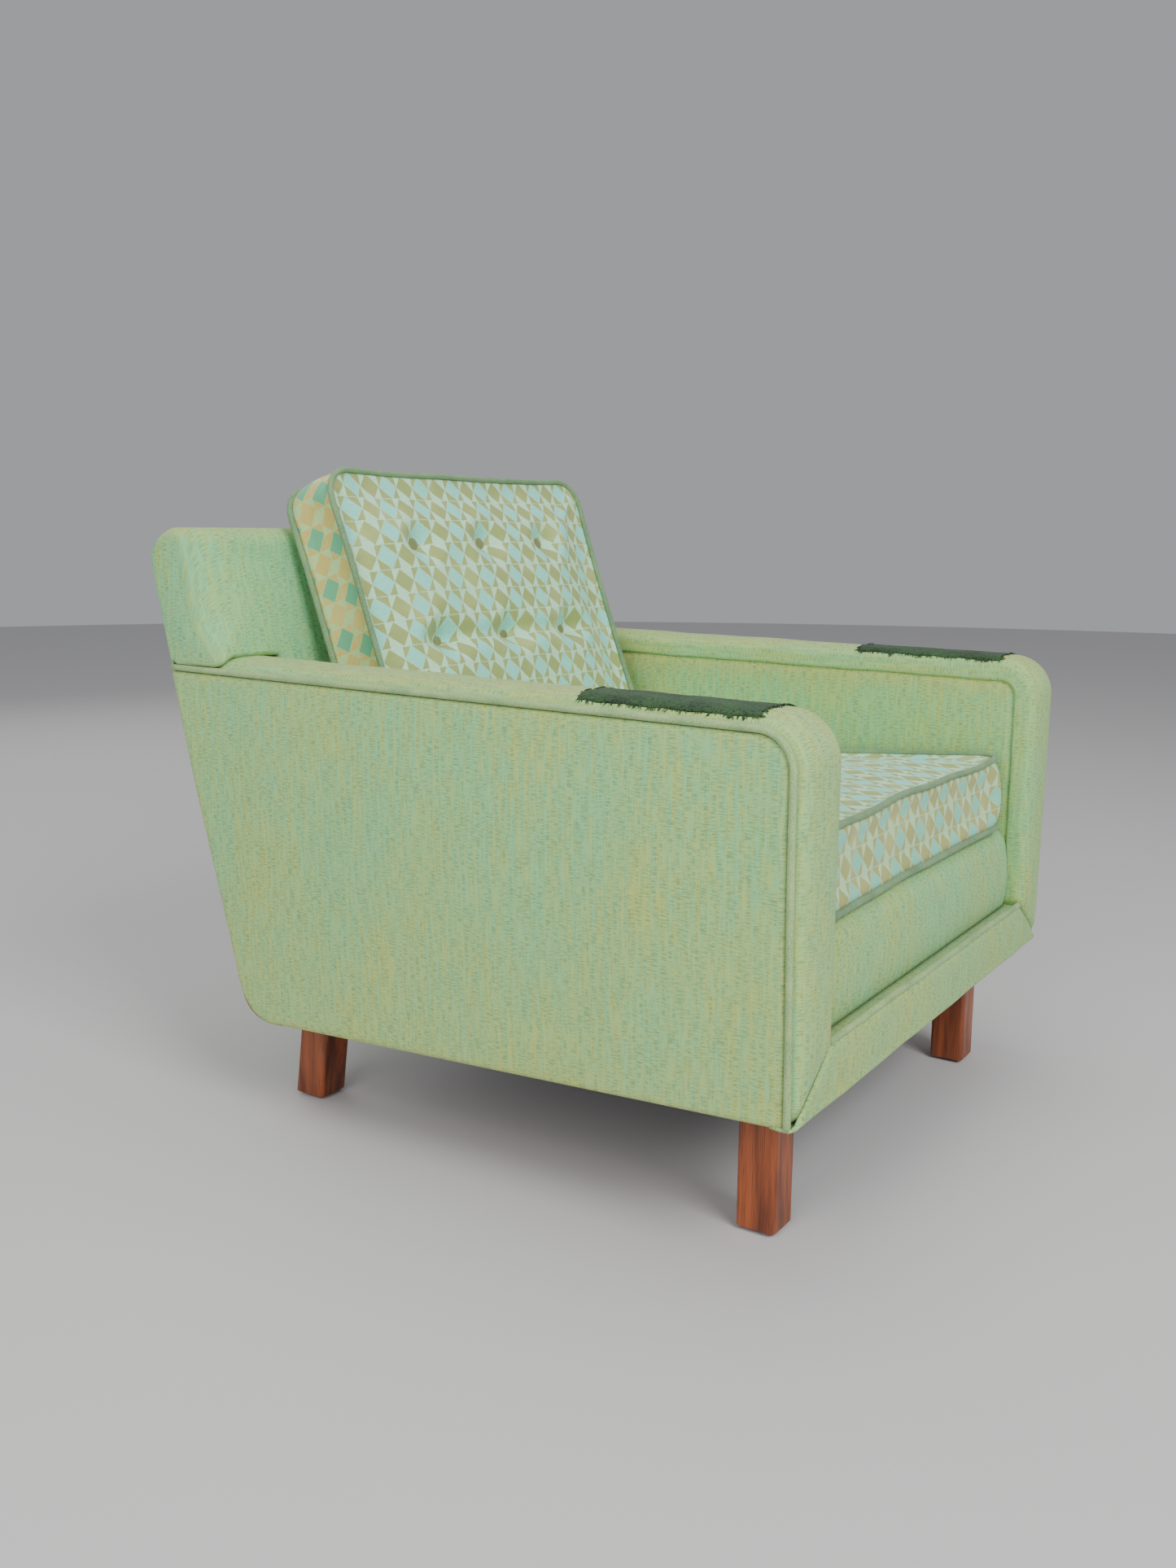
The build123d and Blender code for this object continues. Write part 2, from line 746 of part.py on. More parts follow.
outside_top = back_height - back_top_radius
back_outside = back_block(arm_gap)
back_inside = back_block(cloth)
behind_arms = [
    meet(seat_z, webbing_front, 2 * cloth),
    meet(arm_z, webbing_front, -2 * cloth),
    meet(arm_z, -depth, -2 * cloth),
    meet(seat_z, -depth, 2 * cloth),
]
sheet_space = [
    meet(seat_z, back_cloth),
    (rear_y(outside_top, back_cloth), outside_top),
    (rear_y(outside_top, -depth), outside_top),
    meet(seat_z, -depth),
]
with BuildPart() as inside_back_cover:
    add(back_outside.part)
    add(back_inside.part, mode=Mode.SUBTRACT)
    add_slab(behind_arms, -half_width, half_width, mode=Mode.SUBTRACT)
    add_slab(sheet_space, side_cloth - half_width, half_width - side_cloth, mode=Mode.SUBTRACT)
pieces["inside_back_cover"] = inside_back_cover

with BuildPart() as back_pad:
    add(back_inside.part)
    timber = [
        meet(belly_z, webbing_front),
        (rear_y(post_top, webbing_front), post_top),
        (rear_y(post_top, -depth), post_top),
        meet(belly_z, -depth),
    ]
    add_slab(timber, -frame_outer, frame_outer, mode=Mode.SUBTRACT)
    add_slab(sheet_space, -half_width, half_width, mode=Mode.SUBTRACT)
pieces["back_pad"] = back_pad

back_bottom = meet(belly_z, 0, -belly_rear_radius)[1]
outside_sheet = [
    (rear_y(back_bottom, back_cloth), back_bottom),
    (rear_y(outside_top, back_cloth), outside_top),
    (rear_y(outside_top), outside_top),
    (rear_y(back_bottom), back_bottom),
]
pieces["outside_back_cover"] = slab(outside_sheet, side_cloth - half_width, half_width - side_cloth)


# ------------------------------------------------------------------ cushions
def pillow_panel(plane, width, length, corner, thickness, crown, mode=Mode.ADD):
    """A crowned panel: a rounded rectangle that rises to a smaller one in its middle."""
    with BuildSketch(plane) as base:
        RectangleRounded(width, length, corner)
    extrude(base.sketch, amount=thickness, mode=mode)
    with BuildSketch(plane.offset(thickness)) as edge:
        RectangleRounded(width, length, corner)
    with BuildSketch(plane.offset(thickness + crown)) as top:
        RectangleRounded(width - 2 * crown_slope, length - 2 * crown_slope, corner)
    loft([edge.sketch.face(), top.sketch.face()], mode=mode)


def cushion_ring(plane, width, length, corner, height):
    """Boxing: the strip of cloth round a cushion's edge."""
    with BuildPart() as ring:
        with BuildSketch(plane):
            RectangleRounded(width, length, corner)
            inner_width = width - 2 * cushion_cloth
            inner_length = length - 2 * cushion_cloth
            RectangleRounded(inner_width, inner_length, corner - cushion_cloth, mode=Mode.SUBTRACT)
        extrude(amount=height)
    return ring


def cushion_welts(levels, width, length, corner):
    """Piping round a cushion at each level: a thin raised bead outside the boxing."""
    with BuildPart() as welts:
        for level in levels:
            with BuildSketch(level.offset(-cushion_welt / 2)):
                RectangleRounded(width + cushion_welt, length + cushion_welt, corner + cushion_welt / 2)
                RectangleRounded(width, length, corner, mode=Mode.SUBTRACT)
            extrude(amount=cushion_welt)
    return welts


seat_cushion_width = 2 * (seat_half - cushion_side_gap)
cushion_front_y = platform_y + cushion_setback
cushion_rear_y = meet(seat_z, back_thickness + cushion_rear_gap)[0]
seat_cushion_depth = (cushion_rear_y - cushion_front_y) / cos(tilt)
seat_middle = (cushion_front_y - platform_y) / cos(tilt) + seat_cushion_depth / 2
seat_base = Plane(
    origin=seat_plane(0).from_local_coords((0, seat_middle, cushion_lift)),
    x_dir=(1, 0, 0),
    z_dir=(0, sin(tilt), cos(tilt)),
)
seat_size = (seat_cushion_width, seat_cushion_depth, cushion_corner)
core_size = tuple(size - 2 * cushion_cloth for size in seat_size[:2]) + (cushion_corner - cushion_cloth,)

with BuildPart() as seat_bottom:
    with BuildSketch(seat_base):
        RectangleRounded(*seat_size)
    extrude(amount=cushion_cloth)
pieces["seat_cushion_bottom"] = seat_bottom
pieces["seat_cushion_boxing"] = cushion_ring(
    seat_base.offset(cushion_cloth), *seat_size, seat_boxing - 2 * cushion_cloth
)
with BuildPart() as seat_core:
    pillow_panel(
        seat_base.offset(cushion_cloth), *core_size, seat_boxing - 2 * cushion_cloth, seat_crown
    )
pieces["seat_cushion_core"] = seat_core
with BuildPart() as seat_top:
    pillow_panel(seat_base.offset(seat_boxing - cushion_cloth), *seat_size, cushion_cloth, seat_crown)
    add(seat_core.part, mode=Mode.SUBTRACT)
pieces["seat_cushion_top"] = seat_top
pieces["seat_cushion_welts"] = cushion_welts(
    [seat_base.offset(cushion_cloth), seat_base.offset(seat_boxing - cushion_cloth)], *seat_size
)
with BuildPart() as seat_zip:
    zip_plane = seat_base.offset(seat_boxing / 2 - zip_width / 2)
    with BuildSketch(zip_plane):
        with Locations((0, seat_cushion_depth / 2 + zip_thickness / 2)):
            Rectangle(zip_length, zip_thickness)
    extrude(amount=zip_width)
pieces["seat_cushion_zip"] = seat_zip

# The back cushion stands on the seat cushion and leans on the back's top edge.
lean_edge_y = rear_y(back_height, back_thickness)
back_stand = back_cushion_rear_gap + rear_crown + rear_button_height
lean_y = lean_edge_y - back_stand / cos(lean)


def lean_line_y(z):
    """Y of the back cushion's rear edge plane at height z."""
    return lean_y - (back_height - z) * tan(lean)


def crown_z(y):
    """Highest point of the seat cushion at y, with its crown."""
    rise = 0.0
    for _ in range(settling_rounds):
        height = cushion_lift + seat_boxing + rise
        along = (y - platform_y - height * sin(tilt)) / cos(tilt)
        to_rear = seat_middle + seat_cushion_depth / 2 - along
        rise = seat_crown * min(1.0, max(0.0, to_rear / crown_slope))
    return platform_height - along * sin(tilt) + height * cos(tilt)


foot_z = seat_z(0)
for _ in range(settling_rounds):
    foot_z = crown_z(lean_line_y(foot_z)) + cushion_welt / 2 + back_cushion_lift
back_base_z = foot_z
back_middle = back_cushion_length / 2
lean_rear = Plane(
    origin=(0, lean_line_y(back_base_z) + back_middle * sin(lean), back_base_z + back_middle * cos(lean)),
    x_dir=(1, 0, 0),
    z_dir=(0, -cos(lean), sin(lean)),
)
back_size = (2 * (seat_half - back_cushion_gap), back_cushion_length, cushion_corner)
back_core_size = tuple(size - 2 * cushion_cloth for size in back_size[:2]) + (cushion_corner - cushion_cloth,)
lean_front = lean_rear.offset(back_boxing)
facing_rear = Plane(origin=lean_rear.origin, x_dir=(-1, 0, 0), z_dir=-lean_rear.z_dir)

with BuildPart() as back_core:
    core_front = back_boxing - 2 * cushion_cloth
    pillow_panel(lean_rear.offset(cushion_cloth), *back_core_size, core_front, front_crown)
    pillow_panel(facing_rear.offset(-2 * cushion_cloth), *back_core_size, cushion_cloth, rear_crown)
pieces["back_cushion_core"] = back_core
pieces["back_cushion_boxing"] = cushion_ring(
    lean_rear.offset(cushion_cloth), *back_size, back_boxing - 2 * cushion_cloth
)
with BuildPart() as back_front:
    pillow_panel(lean_front.offset(-cushion_cloth), *back_size, cushion_cloth, front_crown)
    add(back_core.part, mode=Mode.SUBTRACT)
pieces["back_cushion_front"] = back_front
with BuildPart() as back_rear:
    pillow_panel(facing_rear.offset(-cushion_cloth), *back_size, cushion_cloth, rear_crown)
    add(back_core.part, mode=Mode.SUBTRACT)
pieces["back_cushion_rear"] = back_rear
pieces["back_cushion_welts"] = cushion_welts(
    [lean_rear.offset(cushion_cloth), lean_front.offset(-cushion_cloth)], *back_size
)

row_middle = back_middle - button_top_margin - button_row_spacing / 2


def button_circles(plane, radius):
    """Sketch of one circle for each of the six buttons."""
    with BuildSketch(plane) as circles:
        with Locations((0, row_middle)):
            with GridLocations(button_spacing, button_row_spacing, 3, 2):
                Circle(radius)
    return circles.sketch


button_plane = lean_front.offset(front_crown)
rear_button_plane = lean_rear.offset(-rear_crown)
twine_length = back_boxing + front_crown + rear_crown
for piece in (back_core, back_front, back_rear):
    with piece:
        hole = button_circles(rear_button_plane, twine_radius + twine_clearance)
        extrude(hole, amount=twine_length, mode=Mode.SUBTRACT)
outward = Axis(lean_front.origin, lean_front.z_dir)
with BuildPart() as buttons:
    extrude(button_circles(button_plane, button_radius), amount=button_height)
    fillet(buttons.faces().sort_by(outward)[-6:].edges(), button_height * button_round_share)
    extrude(button_circles(rear_button_plane, rear_button_radius), amount=-rear_button_height)
pieces["back_cushion_buttons"] = buttons
with BuildPart() as twines:
    extrude(button_circles(rear_button_plane, twine_radius), amount=twine_length)
pieces["button_twines"] = twines

for name, piece in pieces.items():
    piece.part.label = name
    export_step(piece.part, f"parts/{name}.step")
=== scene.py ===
"""Looks of an upholstered lounge chair with two loose cushions.

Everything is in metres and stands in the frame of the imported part: the origin is on the floor,
+Z is up and the chair faces -Y. "Left" pieces are at -X.
"""

import json
import logging
import math
from dataclasses import dataclass, field
from enum import Enum
from typing import Sequence

import bmesh
import bpy
import numpy as np
from mathutils import Matrix, Vector


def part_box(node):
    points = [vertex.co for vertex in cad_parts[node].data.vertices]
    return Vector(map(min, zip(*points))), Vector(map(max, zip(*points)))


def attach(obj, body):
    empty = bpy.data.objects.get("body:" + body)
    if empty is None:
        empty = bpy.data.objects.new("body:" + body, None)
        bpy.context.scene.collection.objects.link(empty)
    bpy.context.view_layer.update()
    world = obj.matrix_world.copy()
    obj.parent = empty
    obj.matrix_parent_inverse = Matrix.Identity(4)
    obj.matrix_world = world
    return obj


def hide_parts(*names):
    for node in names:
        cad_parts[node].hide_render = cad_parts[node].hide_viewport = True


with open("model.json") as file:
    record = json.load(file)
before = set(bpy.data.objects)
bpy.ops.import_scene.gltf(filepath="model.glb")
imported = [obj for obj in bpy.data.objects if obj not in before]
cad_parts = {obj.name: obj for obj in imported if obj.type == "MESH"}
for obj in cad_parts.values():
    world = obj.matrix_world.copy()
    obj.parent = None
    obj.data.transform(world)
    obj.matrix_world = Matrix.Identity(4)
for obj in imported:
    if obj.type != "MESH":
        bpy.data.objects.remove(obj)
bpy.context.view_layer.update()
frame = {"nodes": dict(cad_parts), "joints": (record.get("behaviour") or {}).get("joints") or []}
log = logging.getLogger("lounge_chair")

# Distances from an edge at which a grid has its lines: of a rolled sheet, a seam and a shoulder.
EDGE_LINES = (0.0, 0.0008, 0.002, 0.004, 0.007, 0.011, 0.017, 0.026)
SEAM_LINES = (0.0, 0.004, 0.009, 0.016, 0.024)
SHOULDER_LINES = (
    *(0.0, 0.0005, 0.0015, 0.003, 0.005, 0.008, 0.011),
    *(0.015, 0.021, 0.028, 0.036, 0.045, 0.056, 0.066),
)

# Thicknesses of the cloths, with their linings, and of the piping.
BORDER_CLOTH = 0.003
INSIDE_CLOTH = 0.0022
PATCH_WOOL = 0.0014
DECK_CLOTH = 0.004
REAR_CLOTH = 0.0026
ZIP_TAPE = 0.0014
PIPING = 0.0036
WOOL_THREAD = 0.00045
BUTTON_TWINE = 0.0008

Array = np.ndarray
Colour = tuple[float, float, float, float]
Faces = list[tuple[int, ...]]
Places = list[tuple[float, float]]


class Side(Enum):
    """The two sides of the chair, with the sign of X there."""

    LEFT = -1
    RIGHT = 1


class Body(Enum):
    """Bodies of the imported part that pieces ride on."""

    CHAIR = "chair"
    SEAT = "seat_cushion"
    BACK = "back_cushion"


# ---------------------------------------------------------------- small helpers
def srgb(red: float, green: float, blue: float) -> Colour:
    """Linear colour of a display colour given in 0 to 255.

    Args:
        red: Red part.
        green: Green part.
        blue: Blue part.

    Returns:
        The linear colour, with full alpha.
    """
    parts = [part / 255.0 for part in (red, green, blue)]
    linear = [p / 12.92 if p <= 0.04045 else ((p + 0.055) / 1.055) ** 2.4 for p in parts]
    return (linear[0], linear[1], linear[2], 1.0)


def smooth(value: Array) -> Array:
    """Smooth step of a value clipped to 0 to 1."""
    part = np.clip(value, 0.0, 1.0)
    return part * part * (3.0 - 2.0 * part)


def lines_across(length: float, edge: Sequence[float], cell: float) -> Array:
    """Grid lines from 0 to a length, closer together near both ends.

    Args:
        length: The whole length.
        edge: Distances from each end at which a line is wanted.
        cell: Spacing of the lines in between.

    Returns:
        The places of the lines, rising.
    """
    near = np.array(edge, float)
    middle = length - 2 * near[-1]
    count = max(2, int(round(middle / cell)))
    inner = near[-1] + middle * np.arange(1, count) / count
    return np.concatenate([near, inner, (length - near)[::-1]])


def round_corners(
    width: float, length: float, xs: Array, ys: Array, radii: Sequence[float]
) -> tuple[Array, Array]:
    """A rectangular grid with its corners rounded, and how far each point is from the outline.

    Args:
        width: Rectangle's size along the first axis.
        length: Rectangle's size along the second axis.
        xs: Grid lines along the first axis.
        ys: Grid lines along the second axis.
        radii: Corner radii: low-low, high-low, high-high and low-high.

    Returns:
        Points as an array (nx, ny, 2), and distances as (nx, ny).
    """
    x, y = np.meshgrid(xs, ys, indexing="ij")
    distance = np.minimum(np.minimum(x, width - x), np.minimum(y, length - y))
    for radius, (far_x, far_y) in zip(radii, ((0, 0), (1, 0), (1, 1), (0, 1))):
        if radius <= 0:
            continue
        dx = width - x if far_x else x
        dy = length - y if far_y else y
        inside = (dx < radius) & (dy < radius)
        p, q = 1 - dx / radius, 1 - dy / radius
        p2 = p * np.sqrt(np.clip(1 - q * q / 2, 0, 1))
        q2 = q * np.sqrt(np.clip(1 - p * p / 2, 0, 1))
        new_dx, new_dy = radius * (1 - p2), radius * (1 - q2)
        x = np.where(inside, width - new_dx if far_x else new_dx, x)
        y = np.where(inside, length - new_dy if far_y else new_dy, y)
        arc = radius - radius * np.sqrt(p2 * p2 + q2 * q2)
        distance = np.where(inside, np.maximum(arc, 0.0), distance)
    return np.stack([x, y], -1), distance


def roll(distance: Array, radius: float) -> Array:
    """How far a rolled edge falls back at a distance from it."""
    short = np.clip(radius - distance, 0.0, radius)
    return radius - np.sqrt(radius * radius - short * short)


def lengths_along(path: Sequence[tuple[float, float]]) -> Array:
    """Length of a flat path up to each of its points."""
    steps = np.diff(np.array(path, float), axis=0)
    return np.concatenate([[0.0], np.cumsum(np.hypot(steps[:, 0], steps[:, 1]))])


def quad_grid(
    corners: Array, length: float, cell: float, radii: Sequence[float]
) -> tuple[Array, Array, Array, Array]:
    """Side-view grid over a four-cornered sheet whose corners are rounded.

    Args:
        corners: Y and Z of the low front, low rear, high rear and high front corners.
        length: The sheet's height, by which its grid lines are spaced.
        cell: Spacing of the grid lines.
        radii: Corner radii, in the corners' order.

    Returns:
        Y and Z of each point, its distance from the outline, and its shares of the way back and up.
    """
    width = corners[2][0] - corners[0][0]
    xs, ys = lines_across(width, EDGE_LINES, cell), lines_across(length, EDGE_LINES, cell)
    flat, distance = round_corners(width, length, xs, ys, radii)
    s, t = flat[..., 0] / width, flat[..., 1] / length
    low = corners[0] + s[..., None] * (corners[1] - corners[0])
    high = corners[3] + s[..., None] * (corners[2] - corners[3])
    return low + t[..., None] * (high - low), distance, s, t


def wander(values: Array, seed: float) -> Array:
    """A slow smooth waver between -1 and 1, the same on every run."""
    return (np.sin(values * 1.0 + seed) + 0.6 * np.sin(values * 2.3 + 1.7 * seed)) / 1.6


# ---------------------------------------------------------------- mesh makers
def make_object(name: str, points: Array, faces: Faces, uvs: Places) -> bpy.types.Object:
    """A new mesh object with one UV map.

    Args:
        name: Name of the piece.
        points: Vertices, as (n, 3).
        faces: Vertex numbers of each face.
        uvs: UV of each face corner, in metres, in the faces' order.

    Returns:
        The object, linked to the scene, with smooth shading.
    """
    mesh = bpy.data.meshes.new(name)
    mesh.from_pydata([tuple(p) for p in np.asarray(points, float)], [], faces)
    layer = mesh.uv_layers.new(name="cloth")
    layer.data.foreach_set("uv", np.asarray(uvs, np.float32).ravel())
    mesh.polygons.foreach_set("use_smooth", [True] * len(mesh.polygons))
    mesh.update()
    piece = bpy.data.objects.new(name, mesh)
    bpy.context.scene.collection.objects.link(piece)
    return piece


def grid_faces(rows: int, columns: int, start: int = 0, loop_rows: bool = False) -> Faces:
    """Quads of a grid whose vertices are numbered row by row.

    Args:
        rows: Number of rows.
        columns: Number of columns.
        start: Number of the first vertex.
        loop_rows: Whether each row's last column joins its first.

    Returns:
        The quads.
    """
    faces = []
    for i in range(rows - 1):
        for j in range(columns if loop_rows else columns - 1):
            k = (j + 1) % columns
            a, b = start + i * columns + j, start + i * columns + k
            faces.append((a, b, b + columns, a + columns))
    return faces


def sheet_piece(
    name: str, points: Array, uv: Array, thickness: float, outside: Sequence[float], wear_and_sheen: Array | None = None
) -> bpy.types.Object:
    """A closed sheet of cloth from one surface grid: thickness is added behind it.

    Args:
        name: Name of the piece.
        points: Outer surface, as (rows, columns, 3).
        uv: Flat place of each point in the cloth, as (rows, columns, 2).
        thickness: Thickness of the cloth and its lining.
        outside: Direction that the outer surface faces, roughly.
        wear_and_sheen: How far each point turns to straw, 0 to 1, as (rows, columns): real wear, and painted
            sheen along some edges.

    Returns:
        The closed piece.
    """
    rows, columns = points.shape[:2]
    faces = grid_faces(rows, columns)
    flat = uv.reshape(-1, 2)
    corners = [tuple(flat[v]) for face in faces for v in face]
    piece = make_object(name, points.reshape(-1, 3), faces, corners)
    store = piece.data.attributes.new("wear_and_sheen", "FLOAT", "POINT")
    values = np.zeros(rows * columns, np.float32) if wear_and_sheen is None else wear_and_sheen.astype(np.float32).ravel()
    store.data.foreach_set("value", values)
    facing = sum((polygon.normal * polygon.area for polygon in piece.data.polygons), Vector())
    if facing.dot(Vector(outside)) < 0:
        piece.data.flip_normals()
    solid = piece.modifiers.new("Lining", "SOLIDIFY")
    solid.thickness = thickness
    solid.offset = -1.0
    apply_modifiers(piece)
    return piece


def apply_modifiers(piece: bpy.types.Object) -> None:
    """Apply every modifier of a piece."""
    bpy.ops.object.select_all(action="DESELECT")
    piece.select_set(True)
    bpy.context.view_layer.objects.active = piece
    for modifier in list(piece.modifiers):
        bpy.ops.object.modifier_apply(modifier=modifier.name)


def face_out(piece: bpy.types.Object) -> bpy.types.Object:
    """Make a closed piece's faces point outwards."""
    work = bmesh.new()
    work.from_mesh(piece.data)
    if work.calc_volume(signed=True) < 0:
        bmesh.ops.reverse_faces(work, faces=work.faces)
        work.to_mesh(piece.data)
    work.free()
    return piece


def tube_mesh(path: Array, radius: float, closed: bool, around: int = 10) -> tuple[Array, Faces, Places]:
    """A round cord along a path.

    Args:
        path: Centre line, as (n, 3).
        radius: The cord's radius.
        closed: Whether the path is a loop.
        around: Number of points round the cord.

    Returns:
        Vertices, faces and the UV of each face corner.
    """
    count = len(path)
    ahead = np.roll(path, -1, 0) - np.roll(path, 1, 0)
    if not closed:
        ahead[0] = path[1] - path[0]
        ahead[-1] = path[-1] - path[-2]
    ahead /= np.linalg.norm(ahead, axis=1)[:, None]
    side = np.cross(ahead[0], (1.0, 0.0, 0.0) if abs(ahead[0][0]) < 0.9 else (0.0, 0.0, 1.0))
    sides = []
    for direction in ahead:
        side = side - direction * (side @ direction)
        side = side / np.linalg.norm(side)
        sides.append(side)
    sides_array = np.array(sides)
    if closed:
        end = sides_array[-1] - ahead[0] * (sides_array[-1] @ ahead[0])
        end /= np.linalg.norm(end)
        twist = math.atan2(np.cross(end, sides_array[0]) @ ahead[0], end @ sides_array[0])
    else:
        twist = 0.0
    turns = np.arange(around) * 2 * math.pi / around
    up = np.cross(ahead, sides_array)
    angle = turns[None, :] + (twist * np.arange(count) / count)[:, None]
    ring = np.cos(angle)[..., None] * sides_array[:, None] + np.sin(angle)[..., None] * up[:, None]
    points = (path[:, None] + radius * ring).reshape(-1, 3)
    step = np.linalg.norm(np.diff(path, axis=0), axis=1).mean()
    faces, uvs = [], []
    for i in range(count if closed else count - 1):
        after = (i + 1) % count
        for j in range(around):
            k = (j + 1) % around
            faces.append((i * around + j, i * around + k, after * around + k, after * around + j))
            low, high = j * 2 * math.pi * radius / around, (j + 1) * 2 * math.pi * radius / around
            uvs += [(low, i * step), (high, i * step), (high, (i + 1) * step), (low, (i + 1) * step)]
    if not closed:
        faces.append(tuple(range(around))[::-1])
        faces.append(tuple((count - 1) * around + j for j in range(around)))
        uvs += [(0.0, 0.0)] * (2 * around)
    return points, faces, uvs


def tubes_piece(
    name: str, paths: Sequence[Array], radius: float, closed: bool, around: int = 10
) -> bpy.types.Object:
    """One piece made of cords along several paths."""
    points, faces, uvs, start = [], [], [], 0
    for path in paths:
        p, f, u = tube_mesh(np.asarray(path, float), radius, closed, around)
        points.append(p)
        faces += [tuple(v + start for v in face) for face in f]
        uvs += u
        start += len(p)
    return face_out(make_object(name, np.concatenate(points), faces, uvs))


# ---------------------------------------------------------------- node recipes
class Recipe:
    """Short calls that add nodes to a node tree and join them up."""

    def __init__(self, tree: bpy.types.NodeTree) -> None:
        """Work on a node tree."""
        self.tree = tree

    def add(self, kind: str, inputs: dict[str, object] | None = None, **settings: object) -> bpy.types.Node:
        """A new node.

        Args:
            kind: Type of the node.
            inputs: Values or sockets for its inputs, by name or number.
            settings: Values of its properties.

        Returns:
            The node.
        """
        node = self.tree.nodes.new(kind)
        for key, value in settings.items():
            setattr(node, key, value)
        for key, value in (inputs or {}).items():
            socket = node.inputs[int(key)] if key.isdigit() else node.inputs[key]
            if isinstance(value, bpy.types.NodeSocket):
                self.tree.links.new(value, socket)
            else:
                socket.default_value = value
        return node

    def math(self, operation: str, a: object, b: object = 0.0, c: object = 0.0) -> bpy.types.NodeSocket:
        """Result of a Math node."""
        inputs = {"0": a, "1": b, "2": c}
        return self.add("ShaderNodeMath", inputs, operation=operation).outputs[0]

    def mix(self, part: object, a: object, b: object, blend: str = "MIX") -> bpy.types.NodeSocket:
        """Colour between two colours."""
        inputs = {"0": part, "6": a, "7": b}
        node = self.add("ShaderNodeMix", inputs, data_type="RGBA", blend_type=blend)
        return node.outputs[2]

    def noise(self, where: object, scale: float, detail: float = 3.0) -> bpy.types.NodeSocket:
        """Value of a Noise Texture."""
        inputs = {"Vector": where, "Scale": scale, "Detail": detail, "Roughness": 0.55}
        return self.add("ShaderNodeTexNoise", inputs).outputs["Fac"]

    def stretch(self, where: object, scale: tuple[float, float, float]) -> bpy.types.NodeSocket:
        """Vector scaled by a Mapping node."""
        return self.add("ShaderNodeMapping", {"Vector": where, "Scale": scale}).outputs[0]

    def ramp(self, value: object, low: float, high: float) -> bpy.types.NodeSocket:
        """Value moved from the range low to high onto 0 to 1, smoothly."""
        inputs = {"Value": value, "From Min": low, "From Max": high}
        node = self.add("ShaderNodeMapRange", inputs, interpolation_type="SMOOTHSTEP")
        return node.outputs[0]


def new_group(
    name: str, inputs: dict[str, tuple[str, object]], outputs: dict[str, str]
) -> tuple[bpy.types.NodeTree, bpy.types.Node, bpy.types.Node]:
    """An empty node group with named sockets.

    Args:
        name: Name of the group.
        inputs: Socket type and first value of each input.
        outputs: Socket type of each output.

    Returns:
        The group, its input node and its output node.
    """
    group = bpy.data.node_groups.new(name, "ShaderNodeTree")
    for socket_name, (kind, value) in inputs.items():
        socket = group.interface.new_socket(socket_name, in_out="INPUT", socket_type=kind)
        if value is not None:
            socket.default_value = value
    for socket_name, kind in outputs.items():
        group.interface.new_socket(socket_name, in_out="OUTPUT", socket_type=kind)
    return group, group.nodes.new("NodeGroupInput"), group.nodes.new("NodeGroupOutput")


def weave_group() -> bpy.types.NodeTree:
    """Plain weave: crossing threads with thick places, worked out from a place in the cloth."""
    number = "NodeSocketFloat"
    group, given, made = new_group(
        "woven_threads",
        {"Place": ("NodeSocketVector", None), "Thread": (number, 900.0)},
        {"Height": number, "Streak": number, "Speckle": number},
    )
    r = Recipe(group)
    place = r.add("ShaderNodeSeparateXYZ", {"0": given.outputs["Place"]})
    turn = r.math("MULTIPLY", given.outputs["Thread"], math.pi)
    warp = r.math("SINE", r.math("MULTIPLY", place.outputs[0], turn))
    weft = r.math("SINE", r.math("MULTIPLY", place.outputs[1], turn))
    cross = r.math("MULTIPLY", warp, weft)
    streak = r.noise(r.stretch(given.outputs["Place"], (620.0, 46.0, 46.0)), 1.0, 3.0)
    speckle = r.noise(r.stretch(given.outputs["Place"], (120.0, 760.0, 120.0)), 1.0, 2.0)
    height = r.math("ADD", r.math("MULTIPLY", cross, 0.22), r.math("ADD", streak, speckle))
    group.links.new(height, made.inputs["Height"])
    group.links.new(streak, made.inputs["Streak"])
    group.links.new(speckle, made.inputs["Speckle"])
    return group


